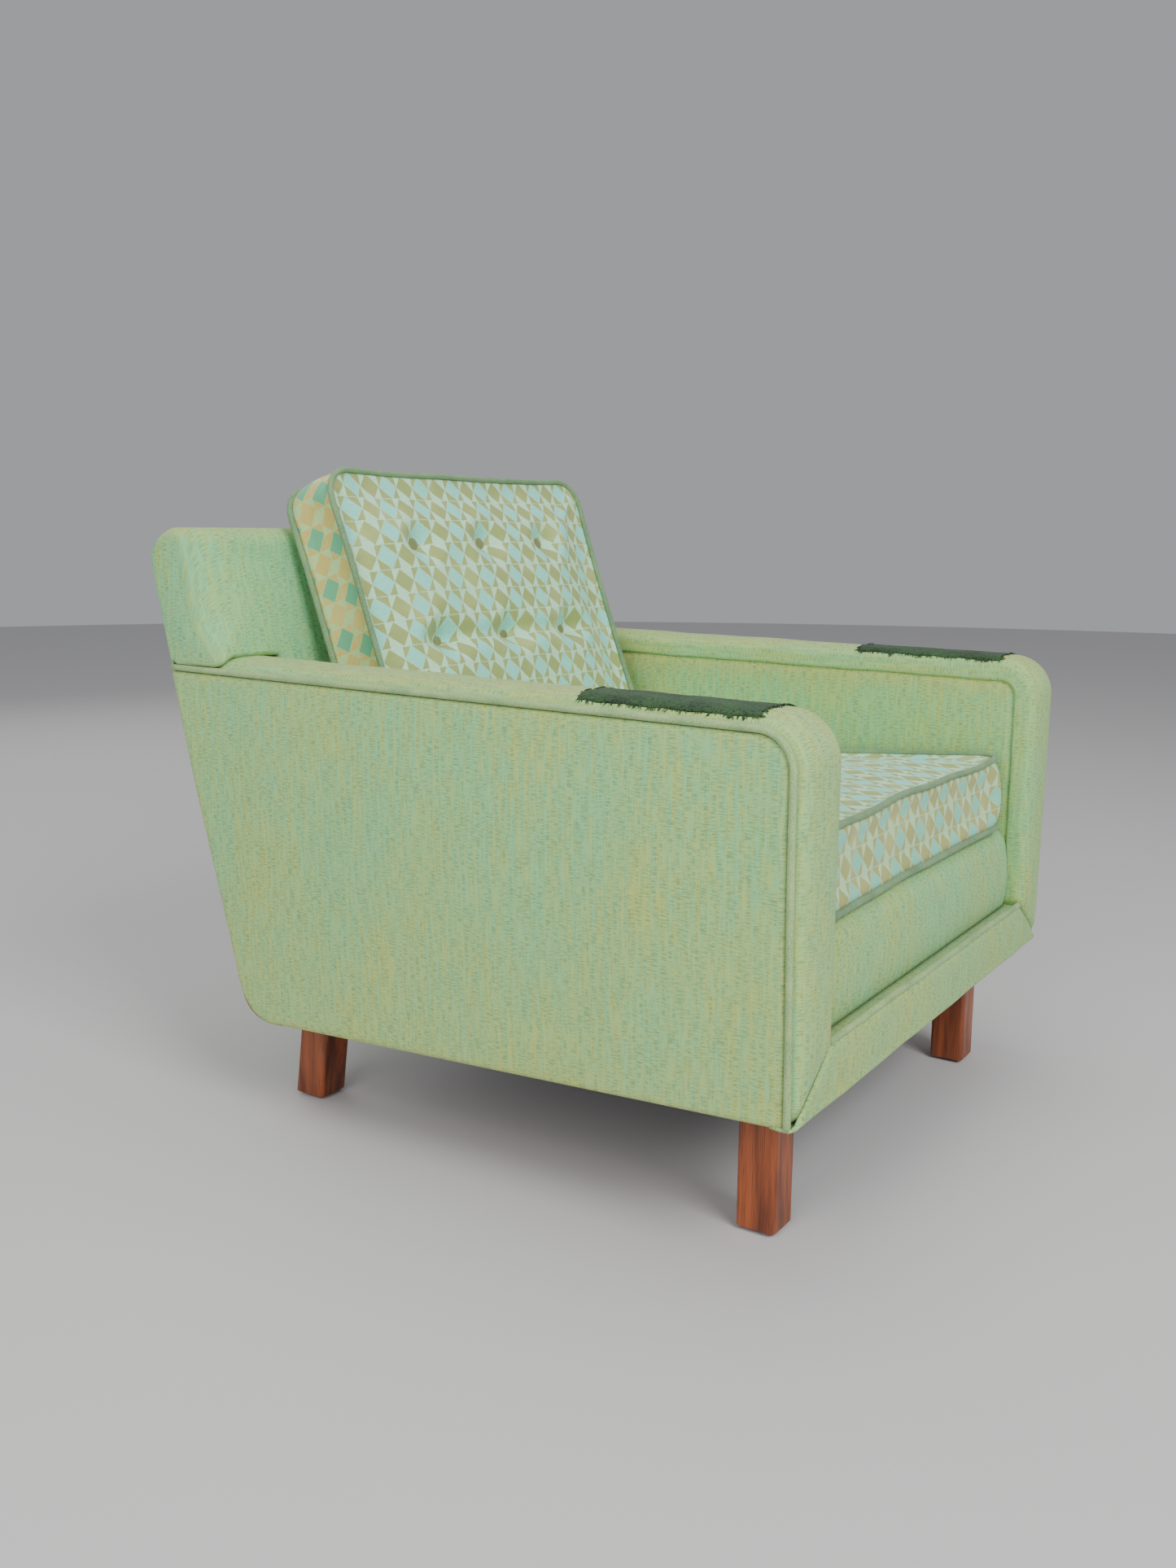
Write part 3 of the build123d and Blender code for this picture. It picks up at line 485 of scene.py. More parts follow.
def diamond_group() -> bpy.types.NodeTree:
    """Rows of leaning diamonds that touch at their sides, with small triangles between the rows."""
    number = "NodeSocketFloat"
    group, given, made = new_group(
        "diamond_rows",
        {"Place": ("NodeSocketVector", None), "Pitch": (number, 0.030), "Row": (number, 0.0305)},
        {"Diamond": number, "Gold": number, "Line": number, "Stripe": number},
    )
    r = Recipe(group)
    wobble = r.noise(given.outputs["Place"], 300.0, 1.0)
    place = r.add("ShaderNodeSeparateXYZ", {"0": given.outputs["Place"]})
    jitter = r.math("MULTIPLY", r.math("SUBTRACT", wobble, 0.5), 0.0012)
    across = r.math("ADD", place.outputs[0], jitter)
    along = r.math("ADD", place.outputs[1], jitter)
    rows = r.math("DIVIDE", along, given.outputs["Row"])
    row = r.math("FLOOR", rows)
    level = r.math("SUBTRACT", r.math("FRACT", rows), 0.5)
    columns = r.math("ADD", r.math("DIVIDE", across, given.outputs["Pitch"]), r.math("MULTIPLY", row, -0.5))
    column = r.math("FLOOR", columns)
    part = r.math("FRACT", columns)
    upper = r.math("GREATER_THAN", level, 0.0)
    mirrored = r.math("SUBTRACT", 1.0, part)
    lower = r.math("SUBTRACT", 1.0, upper)
    side = r.math("ADD", r.math("MULTIPLY", upper, part), r.math("MULTIPLY", lower, mirrored))
    rise = r.math("ABSOLUTE", level)
    left = r.math("DIVIDE", side, 0.40)
    right = r.math("DIVIDE", r.math("SUBTRACT", 1.0, side), 0.60)
    room = r.math("SUBTRACT", r.math("MULTIPLY", r.math("MINIMUM", left, right), 0.5), rise)
    diamond = r.math("GREATER_THAN", room, 0.0)
    odd = r.math("ABSOLUTE", r.math("MODULO", column, 2.0))
    outside = r.math("SUBTRACT", 1.0, diamond)
    even = r.math("SUBTRACT", 1.0, odd)
    gold = r.math("ADD", r.math("MULTIPLY", diamond, odd), r.math("MULTIPLY", outside, even))
    seam = r.math("LESS_THAN", r.math("ABSOLUTE", room), 0.022)
    level_line = r.math("GREATER_THAN", rise, 0.480)
    line = r.math("MAXIMUM", seam, level_line)
    slant = r.math("ADD", r.math("MULTIPLY", across, 2600.0), r.math("MULTIPLY", along, 2100.0))
    stripe = r.math("MULTIPLY_ADD", r.math("SINE", slant), 0.5, 0.5)
    group.links.new(diamond, made.inputs["Diamond"])
    group.links.new(gold, made.inputs["Gold"])
    group.links.new(line, made.inputs["Line"])
    group.links.new(stripe, made.inputs["Stripe"])
    return group


def grain_group() -> bpy.types.NodeTree:
    """Straight wood grain that runs along Z: broad bands with fine pores."""
    number = "NodeSocketFloat"
    group, given, made = new_group(
        "wood_grain", {"Place": ("NodeSocketVector", None)}, {"Band": number, "Pore": number}
    )
    r = Recipe(group)
    band = r.noise(r.stretch(given.outputs["Place"], (60.0, 60.0, 4.5)), 1.0, 4.0)
    fine = r.noise(r.stretch(given.outputs["Place"], (900.0, 900.0, 26.0)), 1.0, 2.0)
    group.links.new(band, made.inputs["Band"])
    group.links.new(r.ramp(fine, 0.50, 0.72), made.inputs["Pore"])
    return group


GROUP_MAKERS = {"weave": weave_group, "diamonds": diamond_group, "grain": grain_group}
groups: dict[str, bpy.types.NodeTree] = {}


def use_group(recipe: Recipe, key: str, inputs: dict[str, object]) -> bpy.types.Node:
    """Place a shared node group in a material, making it the first time."""
    if key not in groups:
        groups[key] = GROUP_MAKERS[key]()
    node = recipe.add("ShaderNodeGroup")
    node.node_tree = groups[key]
    for name, value in inputs.items():
        if isinstance(value, bpy.types.NodeSocket):
            recipe.tree.links.new(value, node.inputs[name])
        else:
            node.inputs[name].default_value = value
    return node


# ---------------------------------------------------------------- finishes
@dataclass(frozen=True)
class Finish:
    """A finish: what every material of the chair has."""

    name: str
    slot: str

    def start(self) -> tuple[bpy.types.Material, Recipe, bpy.types.Node]:
        """A new material with its shader.

        Returns:
            The material, a recipe on its nodes and its Principled shader.
        """
        material = bpy.data.materials.new(self.name)
        material.use_nodes = True
        return material, Recipe(material.node_tree), material.node_tree.nodes["Principled BSDF"]

    def relief(
        self,
        recipe: Recipe,
        shader: bpy.types.Node,
        height: bpy.types.NodeSocket,
        strength: float,
        depth: float,
    ) -> None:
        """Feed a height to the shader's normal through a Bump node."""
        bump = recipe.add("ShaderNodeBump", {"Strength": strength, "Distance": depth, "Height": height})
        recipe.tree.links.new(bump.outputs[0], shader.inputs["Normal"])

    def make(self) -> bpy.types.Material:
        """Make the material."""
        raise NotImplementedError


@dataclass(frozen=True)
class BodyCloth(Finish):
    """Changeant plain-weave cloth: mint with a yellow-green cast, turned to straw where it is worn and, as
    painted sheen, along some edges.
    """

    mint: Colour = srgb(138, 206, 146)
    leaf: Colour = srgb(184, 202, 110)
    straw: Colour = srgb(192, 190, 104)
    shade: Colour = srgb(74, 120, 84)
    lean_to_leaf: float = 0.42

    def make(self) -> bpy.types.Material:
        """Make the material."""
        material, r, shader = self.start()
        place = r.add("ShaderNodeUVMap", uv_map="cloth").outputs[0]
        threads = use_group(r, "weave", {"Place": place, "Thread": 900.0})
        broad = r.noise(r.stretch(place, (9.0, 5.0, 5.0)), 1.0, 2.0)
        streaky = r.noise(r.stretch(place, (150.0, 7.0, 7.0)), 1.0, 3.0)
        part = r.math("MULTIPLY_ADD", r.math("SUBTRACT", streaky, 0.5), 1.3, self.lean_to_leaf)
        part = r.math("MULTIPLY_ADD", r.math("SUBTRACT", broad, 0.5), 1.1, part)
        part = r.math("MULTIPLY_ADD", r.math("SUBTRACT", threads.outputs["Streak"], 0.5), 1.8, part)
        colour = r.mix(r.ramp(part, 0.0, 1.0), self.mint, self.leaf)
        # Straw by the pieces' attribute: real wear, and painted sheen where the side panels raise it along
        # their edges.
        worn = r.add("ShaderNodeAttribute", attribute_name="wear_and_sheen", attribute_type="GEOMETRY").outputs["Fac"]
        colour = r.mix(r.math("MULTIPLY", worn, 0.62), colour, self.straw)
        slub = r.noise(r.stretch(place, (260.0, 30.0, 30.0)), 1.0, 2.0)
        dark = r.math("MULTIPLY", r.ramp(threads.outputs["Speckle"], 0.42, 0.62), r.ramp(slub, 0.30, 0.60))
        colour = r.mix(r.math("MULTIPLY", dark, 0.52), colour, self.shade)
        r.tree.links.new(colour, shader.inputs["Base Color"])
        shader.inputs["Roughness"].default_value = 0.92
        shader.inputs["Sheen Weight"].default_value = 0.12
        shader.inputs["Sheen Roughness"].default_value = 0.5
        shader.inputs["Specular IOR Level"].default_value = 0.25
        self.relief(r, shader, threads.outputs["Height"], 0.55, 0.0006)
        return material


@dataclass(frozen=True)
class DiamondCloth(Finish):
    """Figured cushion cloth: rows of diamonds in aqua and gold with fine stripes in the gold."""

    aqua: Colour = srgb(146, 230, 212)
    pale: Colour = srgb(188, 236, 200)
    gold: Colour = srgb(140, 154, 84)
    bright: Colour = srgb(200, 212, 138)

    def make(self) -> bpy.types.Material:
        """Make the material."""
        material, r, shader = self.start()
        place = r.add("ShaderNodeUVMap", uv_map="cloth").outputs[0]
        pattern = use_group(r, "diamonds", {"Place": place})
        threads = use_group(r, "weave", {"Place": place, "Thread": 1100.0})
        broad = r.noise(place, 14.0, 2.0)
        ground = r.mix(pattern.outputs["Diamond"], self.pale, self.aqua)
        striped = r.mix(r.math("MULTIPLY", pattern.outputs["Stripe"], 0.55), self.gold, self.bright)
        striped = r.mix(r.math("MULTIPLY", r.ramp(broad, 0.45, 0.75), 0.5), striped, self.bright)
        colour = r.mix(pattern.outputs["Gold"], ground, striped)
        colour = r.mix(r.math("MULTIPLY", pattern.outputs["Line"], 0.75), colour, self.pale)
        speck = r.ramp(threads.outputs["Speckle"], 0.45, 0.75)
        colour = r.mix(r.math("MULTIPLY", speck, 0.22), colour, srgb(110, 140, 110))
        r.tree.links.new(colour, shader.inputs["Base Color"])
        shader.inputs["Roughness"].default_value = 0.78
        shader.inputs["Sheen Weight"].default_value = 0.2
        shader.inputs["Specular IOR Level"].default_value = 0.3
        raised = r.math("MULTIPLY_ADD", pattern.outputs["Line"], -0.8, threads.outputs["Height"])
        raised = r.math("MULTIPLY_ADD", pattern.outputs["Gold"], 0.35, raised)
        self.relief(r, shader, raised, 0.5, 0.0005)
        return material


@dataclass(frozen=True)
class PlainCloth(Finish):
    """A single-coloured cloth with a woven face, on object coordinates."""

    light: Colour = srgb(136, 168, 120)
    dark: Colour = srgb(88, 124, 88)
    thread: float = 800.0
    coarse: float = 0.0006
    sheen: float = 0.15

    def make(self) -> bpy.types.Material:
        """Make the material."""
        material, r, shader = self.start()
        place = r.add("ShaderNodeTexCoord").outputs["Object"]
        spots = r.noise(place, self.thread, 2.0)
        broad = r.noise(place, 30.0, 2.0)
        part = r.math("ADD", r.math("MULTIPLY", spots, 0.8), r.math("MULTIPLY", broad, 0.4))
        colour = r.mix(r.ramp(part, 0.35, 0.85), self.dark, self.light)
        r.tree.links.new(colour, shader.inputs["Base Color"])
        shader.inputs["Roughness"].default_value = 0.93
        shader.inputs["Sheen Weight"].default_value = self.sheen
        self.relief(r, shader, spots, 0.6, self.coarse)
        return material


@dataclass(frozen=True)
class Wood(Finish):
    """Timber with its grain upright."""

    light: Colour = srgb(158, 80, 38)
    dark: Colour = srgb(88, 38, 16)
    roughness: float = 0.42
    turn: tuple[float, float, float] = (0.0, 0.0, 0.0)

    def make(self) -> bpy.types.Material:
        """Make the material."""
        material, r, shader = self.start()
        place = r.add("ShaderNodeTexCoord").outputs["Object"]
        turned = r.add("ShaderNodeMapping", {"Vector": place, "Rotation": self.turn}).outputs[0]
        grain = use_group(r, "grain", {"Place": turned})
        colour = r.mix(r.ramp(grain.outputs["Band"], 0.32, 0.68), self.dark, self.light)
        colour = r.mix(r.math("MULTIPLY", grain.outputs["Pore"], 0.55), colour, srgb(58, 28, 14))
        r.tree.links.new(colour, shader.inputs["Base Color"])
        rough = r.math("MULTIPLY_ADD", grain.outputs["Pore"], 0.18, self.roughness)
        r.tree.links.new(rough, shader.inputs["Roughness"])
        shader.inputs["Coat Weight"].default_value = 0.15
        shader.inputs["Coat Roughness"].default_value = 0.35
        self.relief(r, shader, grain.outputs["Pore"], -0.35, 0.0004)
        return material


@dataclass(frozen=True)
class Metal(Finish):
    """Plain steel, slightly dull."""

    tone: Colour = srgb(150, 150, 148)

    def make(self) -> bpy.types.Material:
        """Make the material."""
        material, r, shader = self.start()
        place = r.add("ShaderNodeTexCoord").outputs["Object"]
        spots = r.noise(place, 220.0, 4.0)
        colour = r.mix(r.ramp(spots, 0.4, 0.75), self.tone, srgb(92, 84, 76))
        r.tree.links.new(colour, shader.inputs["Base Color"])
        rough = r.math("MULTIPLY_ADD", spots, 0.3, 0.25)
        r.tree.links.new(rough, shader.inputs["Roughness"])
        shader.inputs["Metallic"].default_value = 1.0
        return material


@dataclass(frozen=True)
class Plastic(Finish):
    """Moulded nylon."""

    tone: Colour = srgb(56, 52, 50)

    def make(self) -> bpy.types.Material:
        """Make the material."""
        material, r, shader = self.start()
        place = r.add("ShaderNodeTexCoord").outputs["Object"]
        spots = r.noise(place, 900.0, 2.0)
        colour = r.mix(r.ramp(spots, 0.3, 0.8), self.tone, srgb(78, 74, 70))
        r.tree.links.new(colour, shader.inputs["Base Color"])
        shader.inputs["Roughness"].default_value = 0.5
        self.relief(r, shader, spots, 0.3, 0.0002)
        return material


body_cloth = BodyCloth("mint_changeant_cloth", "body_cloth")
shoulder_cloth = BodyCloth("mint_back_cloth", "body_cloth", lean_to_leaf=0.22)
panel_cloth = DiamondCloth("diamond_cloth", "cushion_cloth")
boxing_cloth = DiamondCloth(
    "diamond_cloth_boxing",
    "cushion_cloth",
    aqua=srgb(106, 186, 142),
    pale=srgb(192, 222, 152),
    gold=srgb(206, 184, 98),
    bright=srgb(226, 210, 132),
)
seat_boxing_cloth = DiamondCloth(
    "diamond_cloth_seat_boxing",
    "cushion_cloth",
    aqua=srgb(138, 220, 190),
    pale=srgb(190, 230, 178),
    gold=srgb(158, 164, 88),
    bright=srgb(206, 208, 136),
)
piping_cloth = PlainCloth("cushion_piping_cloth", "welt_cloth")
welt_cloth = PlainCloth(
    "body_piping_cloth", "welt_cloth", light=srgb(176, 200, 132), dark=srgb(112, 152, 104)
)
button_cloth = PlainCloth("button_cloth", "welt_cloth", light=srgb(142, 146, 92), dark=srgb(110, 116, 70))
patch_wool = PlainCloth(
    "patch_wool",
    "patch_cloth",
    light=srgb(54, 92, 48),
    dark=srgb(10, 28, 14),
    thread=420.0,
    coarse=0.0016,
    sheen=0.05,
)
dust_cloth = PlainCloth("black_dust_cloth", "dust_cloth", light=srgb(44, 44, 46), dark=srgb(24, 24, 26))
jute = PlainCloth(
    "jute_webbing",
    "jute",
    light=srgb(178, 146, 98),
    dark=srgb(128, 98, 60),
    thread=500.0,
    coarse=0.001,
)
twine_yarn = PlainCloth("button_twine_yarn", "jute", light=srgb(200, 184, 150), dark=srgb(150, 132, 100))
teak = Wood("oiled_teak", "teak")
beech = Wood("frame_beech", "beech", light=srgb(214, 178, 134), dark=srgb(176, 136, 94), roughness=0.6)
board = Wood("side_hardboard", "hardboard", light=srgb(138, 102, 70), dark=srgb(104, 74, 48), roughness=0.8)
steel = Metal("spring_steel", "steel")
nylon = Plastic("nylon", "nylon")


class Wardrobe:
    """Makes each finish once and dresses pieces in it."""

    def __init__(self) -> None:
        """Start with no material made."""
        self.made: dict[str, bpy.types.Material] = {}

    def material(self, finish: Finish) -> bpy.types.Material:
        """The material of a finish, made the first time it is asked for."""
        if finish.name not in self.made:
            self.made[finish.name] = finish.make()
        return self.made[finish.name]

    def dress(self, piece: bpy.types.Object, finish: Finish, *others: Finish) -> bpy.types.Object:
        """Give a piece its finishes, in the order of its material numbers."""
        piece.data.materials.clear()
        for each in (finish, *others):
            piece.data.materials.append(self.material(each))
        return piece

    def place(self, piece: bpy.types.Object, finish: Finish, body: Body, *nodes: str) -> bpy.types.Object:
        """Dress a new piece, let it ride on its body and stand for CAD nodes.

        Args:
            piece: The new piece.
            finish: Its finish.
            body: The body it moves with.
            nodes: CAD nodes that it stands for.

        Returns:
            The piece.
        """
        if not piece.data.materials:
            self.dress(piece, finish)
        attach(piece, body.value)
        if nodes:
            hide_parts(*nodes)
        log.info("%s: %d faces", piece.name, len(piece.data.polygons))
        return piece


# ---------------------------------------------------------------- the chair's lines
@dataclass(frozen=True)
class ChairLines:
    """Side-view lines and widths of the body, read from the frame.

    The arm top meets the rear face near arm_end, the shoulders stand on it round shoulder_y, and the
    platform reaches back to seat_end, all along Y.
    """

    arm_slope: float = 0.0141
    belly_slope: float = -0.0495
    corner: float = 0.044
    heel: float = 0.042
    back_thick: float = 0.086
    arm_end: float = 0.37
    shoulder_y: float = 0.33
    seat_end: float = 0.3
    half_width: float = field(default_factory=lambda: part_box("side_panel_right")[1].x)
    seat_half: float = field(default_factory=lambda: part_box("arm_border_right")[0].x)
    front_y: float = field(default_factory=lambda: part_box("arm_border_right")[0].y)
    belly_front: float = field(default_factory=lambda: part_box("arm_border_right")[0].z)
    apron_top: float = field(default_factory=lambda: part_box("apron_panel")[1].z)
    back_top: float = field(default_factory=lambda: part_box("inside_back_cover")[1].z)
    platform_y: float = field(default_factory=lambda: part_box("platform_cover")[0].y)
    platform_top: float = field(default_factory=lambda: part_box("platform_cover")[1].z)

    def seat_tilt(self) -> float:
        """Tilt of the seat, from the direction in which its cushion pulls out."""
        axis = next(j for j in frame["joints"] if j["name"] == "seat_cushion_pull")["axis"]
        return math.atan2(axis[2], -axis[1])

    def rear_slope(self) -> float:
        """How far the rear face leans back for each metre up."""
        low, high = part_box("outside_back_cover")
        sheet = 0.003
        return (high.y - low.y - sheet) / (high.z - low.z)

    def rear(self, z: Array, inward: float = 0.0) -> Array:
        """Y of the rear face at a height, or of a plane inside it."""
        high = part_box("outside_back_cover")[1]
        slope = self.rear_slope()
        return high.y - (high.z - z) * slope - inward * math.sqrt(1 + slope * slope)

    def arm(self, y: Array) -> Array:
        """Height of the arm top."""
        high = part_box("arm_border_right")[1]
        return high.z - (high.y - y) * self.arm_slope

    def belly(self, y: Array) -> Array:
        """Height of the underside."""
        return self.belly_front + (y - self.front_y) * self.belly_slope

    def seat(self, y: Array) -> Array:
        """Height of the platform."""
        top = self.platform_top + (0.0016 if self.seat_tilt() > 0 else 0.0)
        return top - (y - self.platform_y) * math.tan(self.seat_tilt())

    def flare(self, points: Array) -> Array:
        """Points with the body's sides leaning outwards towards the arms."""
        out = points.copy()
        x, z = out[..., 0], out[..., 2]
        spread = -0.001 + 0.009 * smooth((z - 0.13) / 0.32)
        share = smooth((np.abs(x) - self.seat_half - 0.004) / (self.half_width - self.seat_half - 0.004))
        out[..., 0] = x + np.sign(x) * spread * share
        return out


# ---------------------------------------------------------------- upholstered body


@dataclass
class ArmSet:
    """One arm and its side: panel, border, inside cover, welt and patch."""

    lines: ChairLines
    wardrobe: Wardrobe
    side: Side
    panel_inset: float = 0.0122
    welt_inset: float = 0.0085
    welt_radius: float = PIPING
    crown: float = 0.0052
    sink: float = 0.0125
    wrap: float = 0.0245
    squareness: float = 2.7
    cloth: float = 0.0035
    patch_gap: float = 0.004

    @property
    def tag(self) -> str:
        """Name of the side, as in the part's node names."""
        return self.side.name.lower()

    def outline(self, inset: float) -> Array:
        """Side view's path up the front, round the corner and along the arm top.

        Args:
            inset: How far inside the arm's outline it runs.

        Returns:
            Points (n, 2) as Y and Z.
        """
        lines = self.lines
        radius = lines.corner - inset
        y0 = lines.front_y + inset
        centre_y = lines.front_y + lines.corner
        centre_z = float(lines.arm(centre_y)) - lines.corner
        up = [(y0, z) for z in np.linspace(float(lines.belly(y0)) + 0.001, centre_z, 40)]
        turn = np.linspace(math.pi, math.pi / 2, 14)[1:]
        bend = [(centre_y + radius * math.cos(a), centre_z + radius * math.sin(a)) for a in turn]
        end_z = float(lines.arm(lines.arm_end)) - inset
        end_y = float(lines.rear(end_z, 0.004))
        back = [(y, float(lines.arm(y)) - inset) for y in np.linspace(centre_y, end_y, 70)[1:]]
        return np.array(up + bend + back)

    def build_panel(self) -> bpy.types.Object:
        """Side panel: a slightly full sheet, drawn in at the welt and rolled under at the bottom."""
        lines, inset = self.lines, self.panel_inset
        front = lines.front_y + inset
        top_rear_z = float(lines.arm(lines.arm_end)) - inset
        low_rear_z = float(lines.belly(0.28))
        corners = np.array(
            [
                (front, float(lines.belly(front))),
                (float(lines.rear(low_rear_z, 0.0008)), low_rear_z),
                (float(lines.rear(top_rear_z, 0.0008)), top_rear_z),
                (front, float(lines.arm(front)) - inset),
            ]
        )
        length = corners[2][1] - corners[0][1]
        radii = (0.004, lines.heel, 0.004, lines.corner - inset)
        yz, distance, s, t = quad_grid(corners, length, 0.014, radii)
        full = 0.0035 * (4 * s * (1 - s)) ** 0.8 * (4 * t * (1 - t)) ** 0.6
        ripple = 0.0006 * wander(yz[..., 0] * 38 + yz[..., 1] * 9, 2.0) * smooth(distance / 0.05)
        x = lines.half_width - 0.0008 - roll(distance, 0.0055) + full + ripple
        points = np.stack([self.side.value * x, yz[..., 0], yz[..., 1]], -1)
        # Straw rises towards the bottom and the rear; within 12 mm of the outline it is painted sheen, the
        # changeant cloth's shift of hue at its edges.
        wear_and_sheen = 0.45 * (1 - t) ** 2 + 0.5 * smooth(1 - distance / 0.012) + 0.12 * s
        points = lines.flare(points)
        name, outside = f"side_panel_cloth_{self.tag}", (self.side.value, 0, 0)
        piece = face_out(sheet_piece(name, points, yz, self.cloth, outside, wear_and_sheen))
        return self.wardrobe.place(piece, body_cloth, Body.CHAIR, f"side_panel_{self.tag}")

    def section(self) -> tuple[Array, Array]:
        """Border's cross-section from the welt over the crown and down the inside face.

        Returns:
            Distances from the chair's middle, and heights over the arm's outline.
        """
        lines = self.lines
        outer, inner = lines.half_width - 0.0058, lines.seat_half - 0.0008
        middle, reach = (outer + inner) / 2, (outer - inner) / 2
        turn = np.linspace(0.0, math.pi, 35)
        power = 2 / self.squareness
        x = middle + reach * np.sign(np.cos(turn)) * np.abs(np.cos(turn)) ** power
        rise = (self.crown + self.sink) * np.abs(np.sin(turn)) ** power - self.sink
        down = np.array([0.0170, 0.0205, 0.0232, self.wrap])
        x_down = inner + np.array([-0.0003, -0.0006, -0.0002, 0.0022])
        return np.concatenate([x, x_down]), np.concatenate([rise, -down])

    def crown_at(self, x: Array) -> Array:
        """Height of the border over the arm's outline, at a distance from the middle."""
        across, rise = self.section()
        order = np.argsort(across[:35])
        return np.interp(x, across[:35][order], rise[:35][order])

    def build_border(self) -> bpy.types.Object:
        """Border: a crowned strip up the front and over the arm, turned down on the inside face."""
        lines = self.lines
        across, rise = self.section()
        centre_y = lines.front_y + lines.corner
        centre_z = float(lines.arm(centre_y)) - lines.corner
        share = (across - lines.seat_half) / (lines.half_width - lines.seat_half)
        mitre = lines.apron_top - np.clip(share, 0, 1) * (lines.apron_top - lines.belly_front)
        rows, lengths, wear_and_sheen = [], [], []
        for step in np.linspace(0, 1, 26):
            z = mitre + (centre_z - mitre) * step
            most = 0.0012 + (self.crown - 0.0012) * float(smooth(np.array(step / 0.22)))
            drawn_in = 0.0045 * max(0.0, 1 - step / 0.035)
            low_rise = np.minimum(rise, most) - drawn_in
            rows.append(np.stack([across, lines.front_y - low_rise, z], -1))
            lengths.append(z)
            wear_and_sheen.append(np.full_like(z, 0.25 + 0.2 * step))
        bend = lines.corner
        for turn in np.linspace(0, math.pi / 2, 16)[1:]:
            out = bend + rise
            y = centre_y - out * math.cos(turn)
            rows.append(np.stack([across, y, centre_z + out * math.sin(turn)], -1))
            lengths.append(np.full_like(across, centre_z + bend * turn))
            wear_and_sheen.append(np.full_like(across, 0.5 + 0.2 * turn))
        end_y = float(lines.rear(float(lines.arm(lines.arm_end)), 0.008))
        for y in np.linspace(centre_y, end_y, 56)[1:]:
            wave = 0.0006 * wander(np.array(y * 30), 1.0 + self.side.value)
            rows.append(np.stack([across, np.full_like(across, y), lines.arm(y) + rise + wave], -1))
            lengths.append(np.full_like(across, centre_z + bend * math.pi / 2 + y - centre_y))
            wear_and_sheen.append(np.full_like(across, 0.75 if y < 0.2 else 0.6))
        points = np.array(rows)
        points[..., 0] *= self.side.value
        along = np.array(lengths)
        gap = np.concatenate([[0.0], np.cumsum(np.hypot(np.diff(across), np.diff(rise)))])
        uv = np.stack([np.broadcast_to(gap, along.shape), along], -1)
        rubbed = np.array(wear_and_sheen) * (0.55 + 0.45 * smooth((rise + 0.006) / 0.010))[None, :]
        name, outside = f"arm_border_cloth_{self.tag}", (0, -1, 1)
        piece = face_out(sheet_piece(name, lines.flare(points), uv, BORDER_CLOTH, outside, rubbed))
        nodes = (f"arm_border_{self.tag}", f"arm_pad_{self.tag}")
        return self.wardrobe.place(piece, body_cloth, Body.CHAIR, *nodes)

    def build_inside(self) -> bpy.types.Object:
        """Inside arm cover: from the border's turned edge down to the seat."""
        lines = self.lines
        front = lines.front_y + self.wrap - 0.002
        low_front = float(lines.seat(front)) - 0.036
        top_drop = self.wrap - 0.002
        rear_top = float(lines.arm(lines.seat_end)) - top_drop
        rear_low = float(lines.seat(0.25)) - 0.036
        corners = np.array(
            [
                (front, low_front),
                (float(lines.rear(rear_low, 0.060)), rear_low),
                (float(lines.rear(rear_top, 0.060)), rear_top),
                (front, float(lines.arm(front)) - top_drop),
            ]
        )
        length, radii = corners[3][1] - low_front, (0, 0, 0, lines.corner - self.wrap)
        yz, distance, _, t = quad_grid(corners, length, 0.016, radii)
        full = 0.0022 * smooth(distance / 0.010)
        x = lines.seat_half + 0.0022 - full
        points = np.stack([self.side.value * x, yz[..., 0], yz[..., 1]], -1)
        wear_and_sheen = 0.2 * t + 0.8 * smooth((t - 0.88) / 0.1)
        name, outside = f"inside_arm_cloth_{self.tag}", (-self.side.value, 0, 0)
        piece = face_out(sheet_piece(name, points, yz, INSIDE_CLOTH, outside, wear_and_sheen))
        return self.wardrobe.place(piece, body_cloth, Body.CHAIR, f"inside_arm_cover_{self.tag}")

    def build_welt(self) -> bpy.types.Object:
        """Welt beside the border, from the apron up the front and back to the rear."""
        path = self.outline(self.welt_inset)
        x = np.full(len(path), self.side.value * (self.lines.half_width - self.welt_radius + 0.0012))
        points = self.lines.flare(np.stack([x, path[:, 0], path[:, 1]], -1))
        piece = tubes_piece(f"side_piping_{self.tag}", [points], self.welt_radius, False)
        return self.wardrobe.place(piece, welt_cloth, Body.CHAIR, f"side_welt_{self.tag}")

    def build_patch(self) -> bpy.types.Object:
        """Wool patch laid over the worn arm top, with loose threads round its edge."""
        lines = self.lines
        low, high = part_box(f"arm_patch_{self.tag}")
        ys = np.linspace(low.y, high.y, 60)
        inner, outer = lines.seat_half + self.patch_gap, lines.half_width - 0.010
        grid_x = np.linspace(0, 1, 22)
        rows = []
        for y in ys:
            shift_in = 0.0010 * float(wander(np.array(y * 160), 1.0))
            shift_out = 0.0007 * float(wander(np.array(y * 140), 4.0))
            across = inner + shift_in + (outer + shift_out - inner - shift_in) * grid_x
            ragged = 0.0016 * wander(across * 200, 2.0 if y < 0 else 5.0)
            end = smooth(np.array(1 - min(y - low.y, high.y - y) / 0.02))
            lift = lines.arm(y) + self.crown_at(across) + 0.0012
            bumps = 0.0004 * wander(across * 260 + y * 90, 3.0)
            rows.append(np.stack([across, y + ragged * end, lift + bumps], -1))
        points = np.array(rows)
        points[..., 0] *= self.side.value
        points = lines.flare(points)
        uv = points[..., :2]
        piece = face_out(sheet_piece(f"wool_patch_{self.tag}", points, uv, PATCH_WOOL, (0, 0, 1)))
        self.wardrobe.place(piece, patch_wool, Body.CHAIR, f"arm_patch_{self.tag}")
        threads = self.build_fringe(points)
        return piece

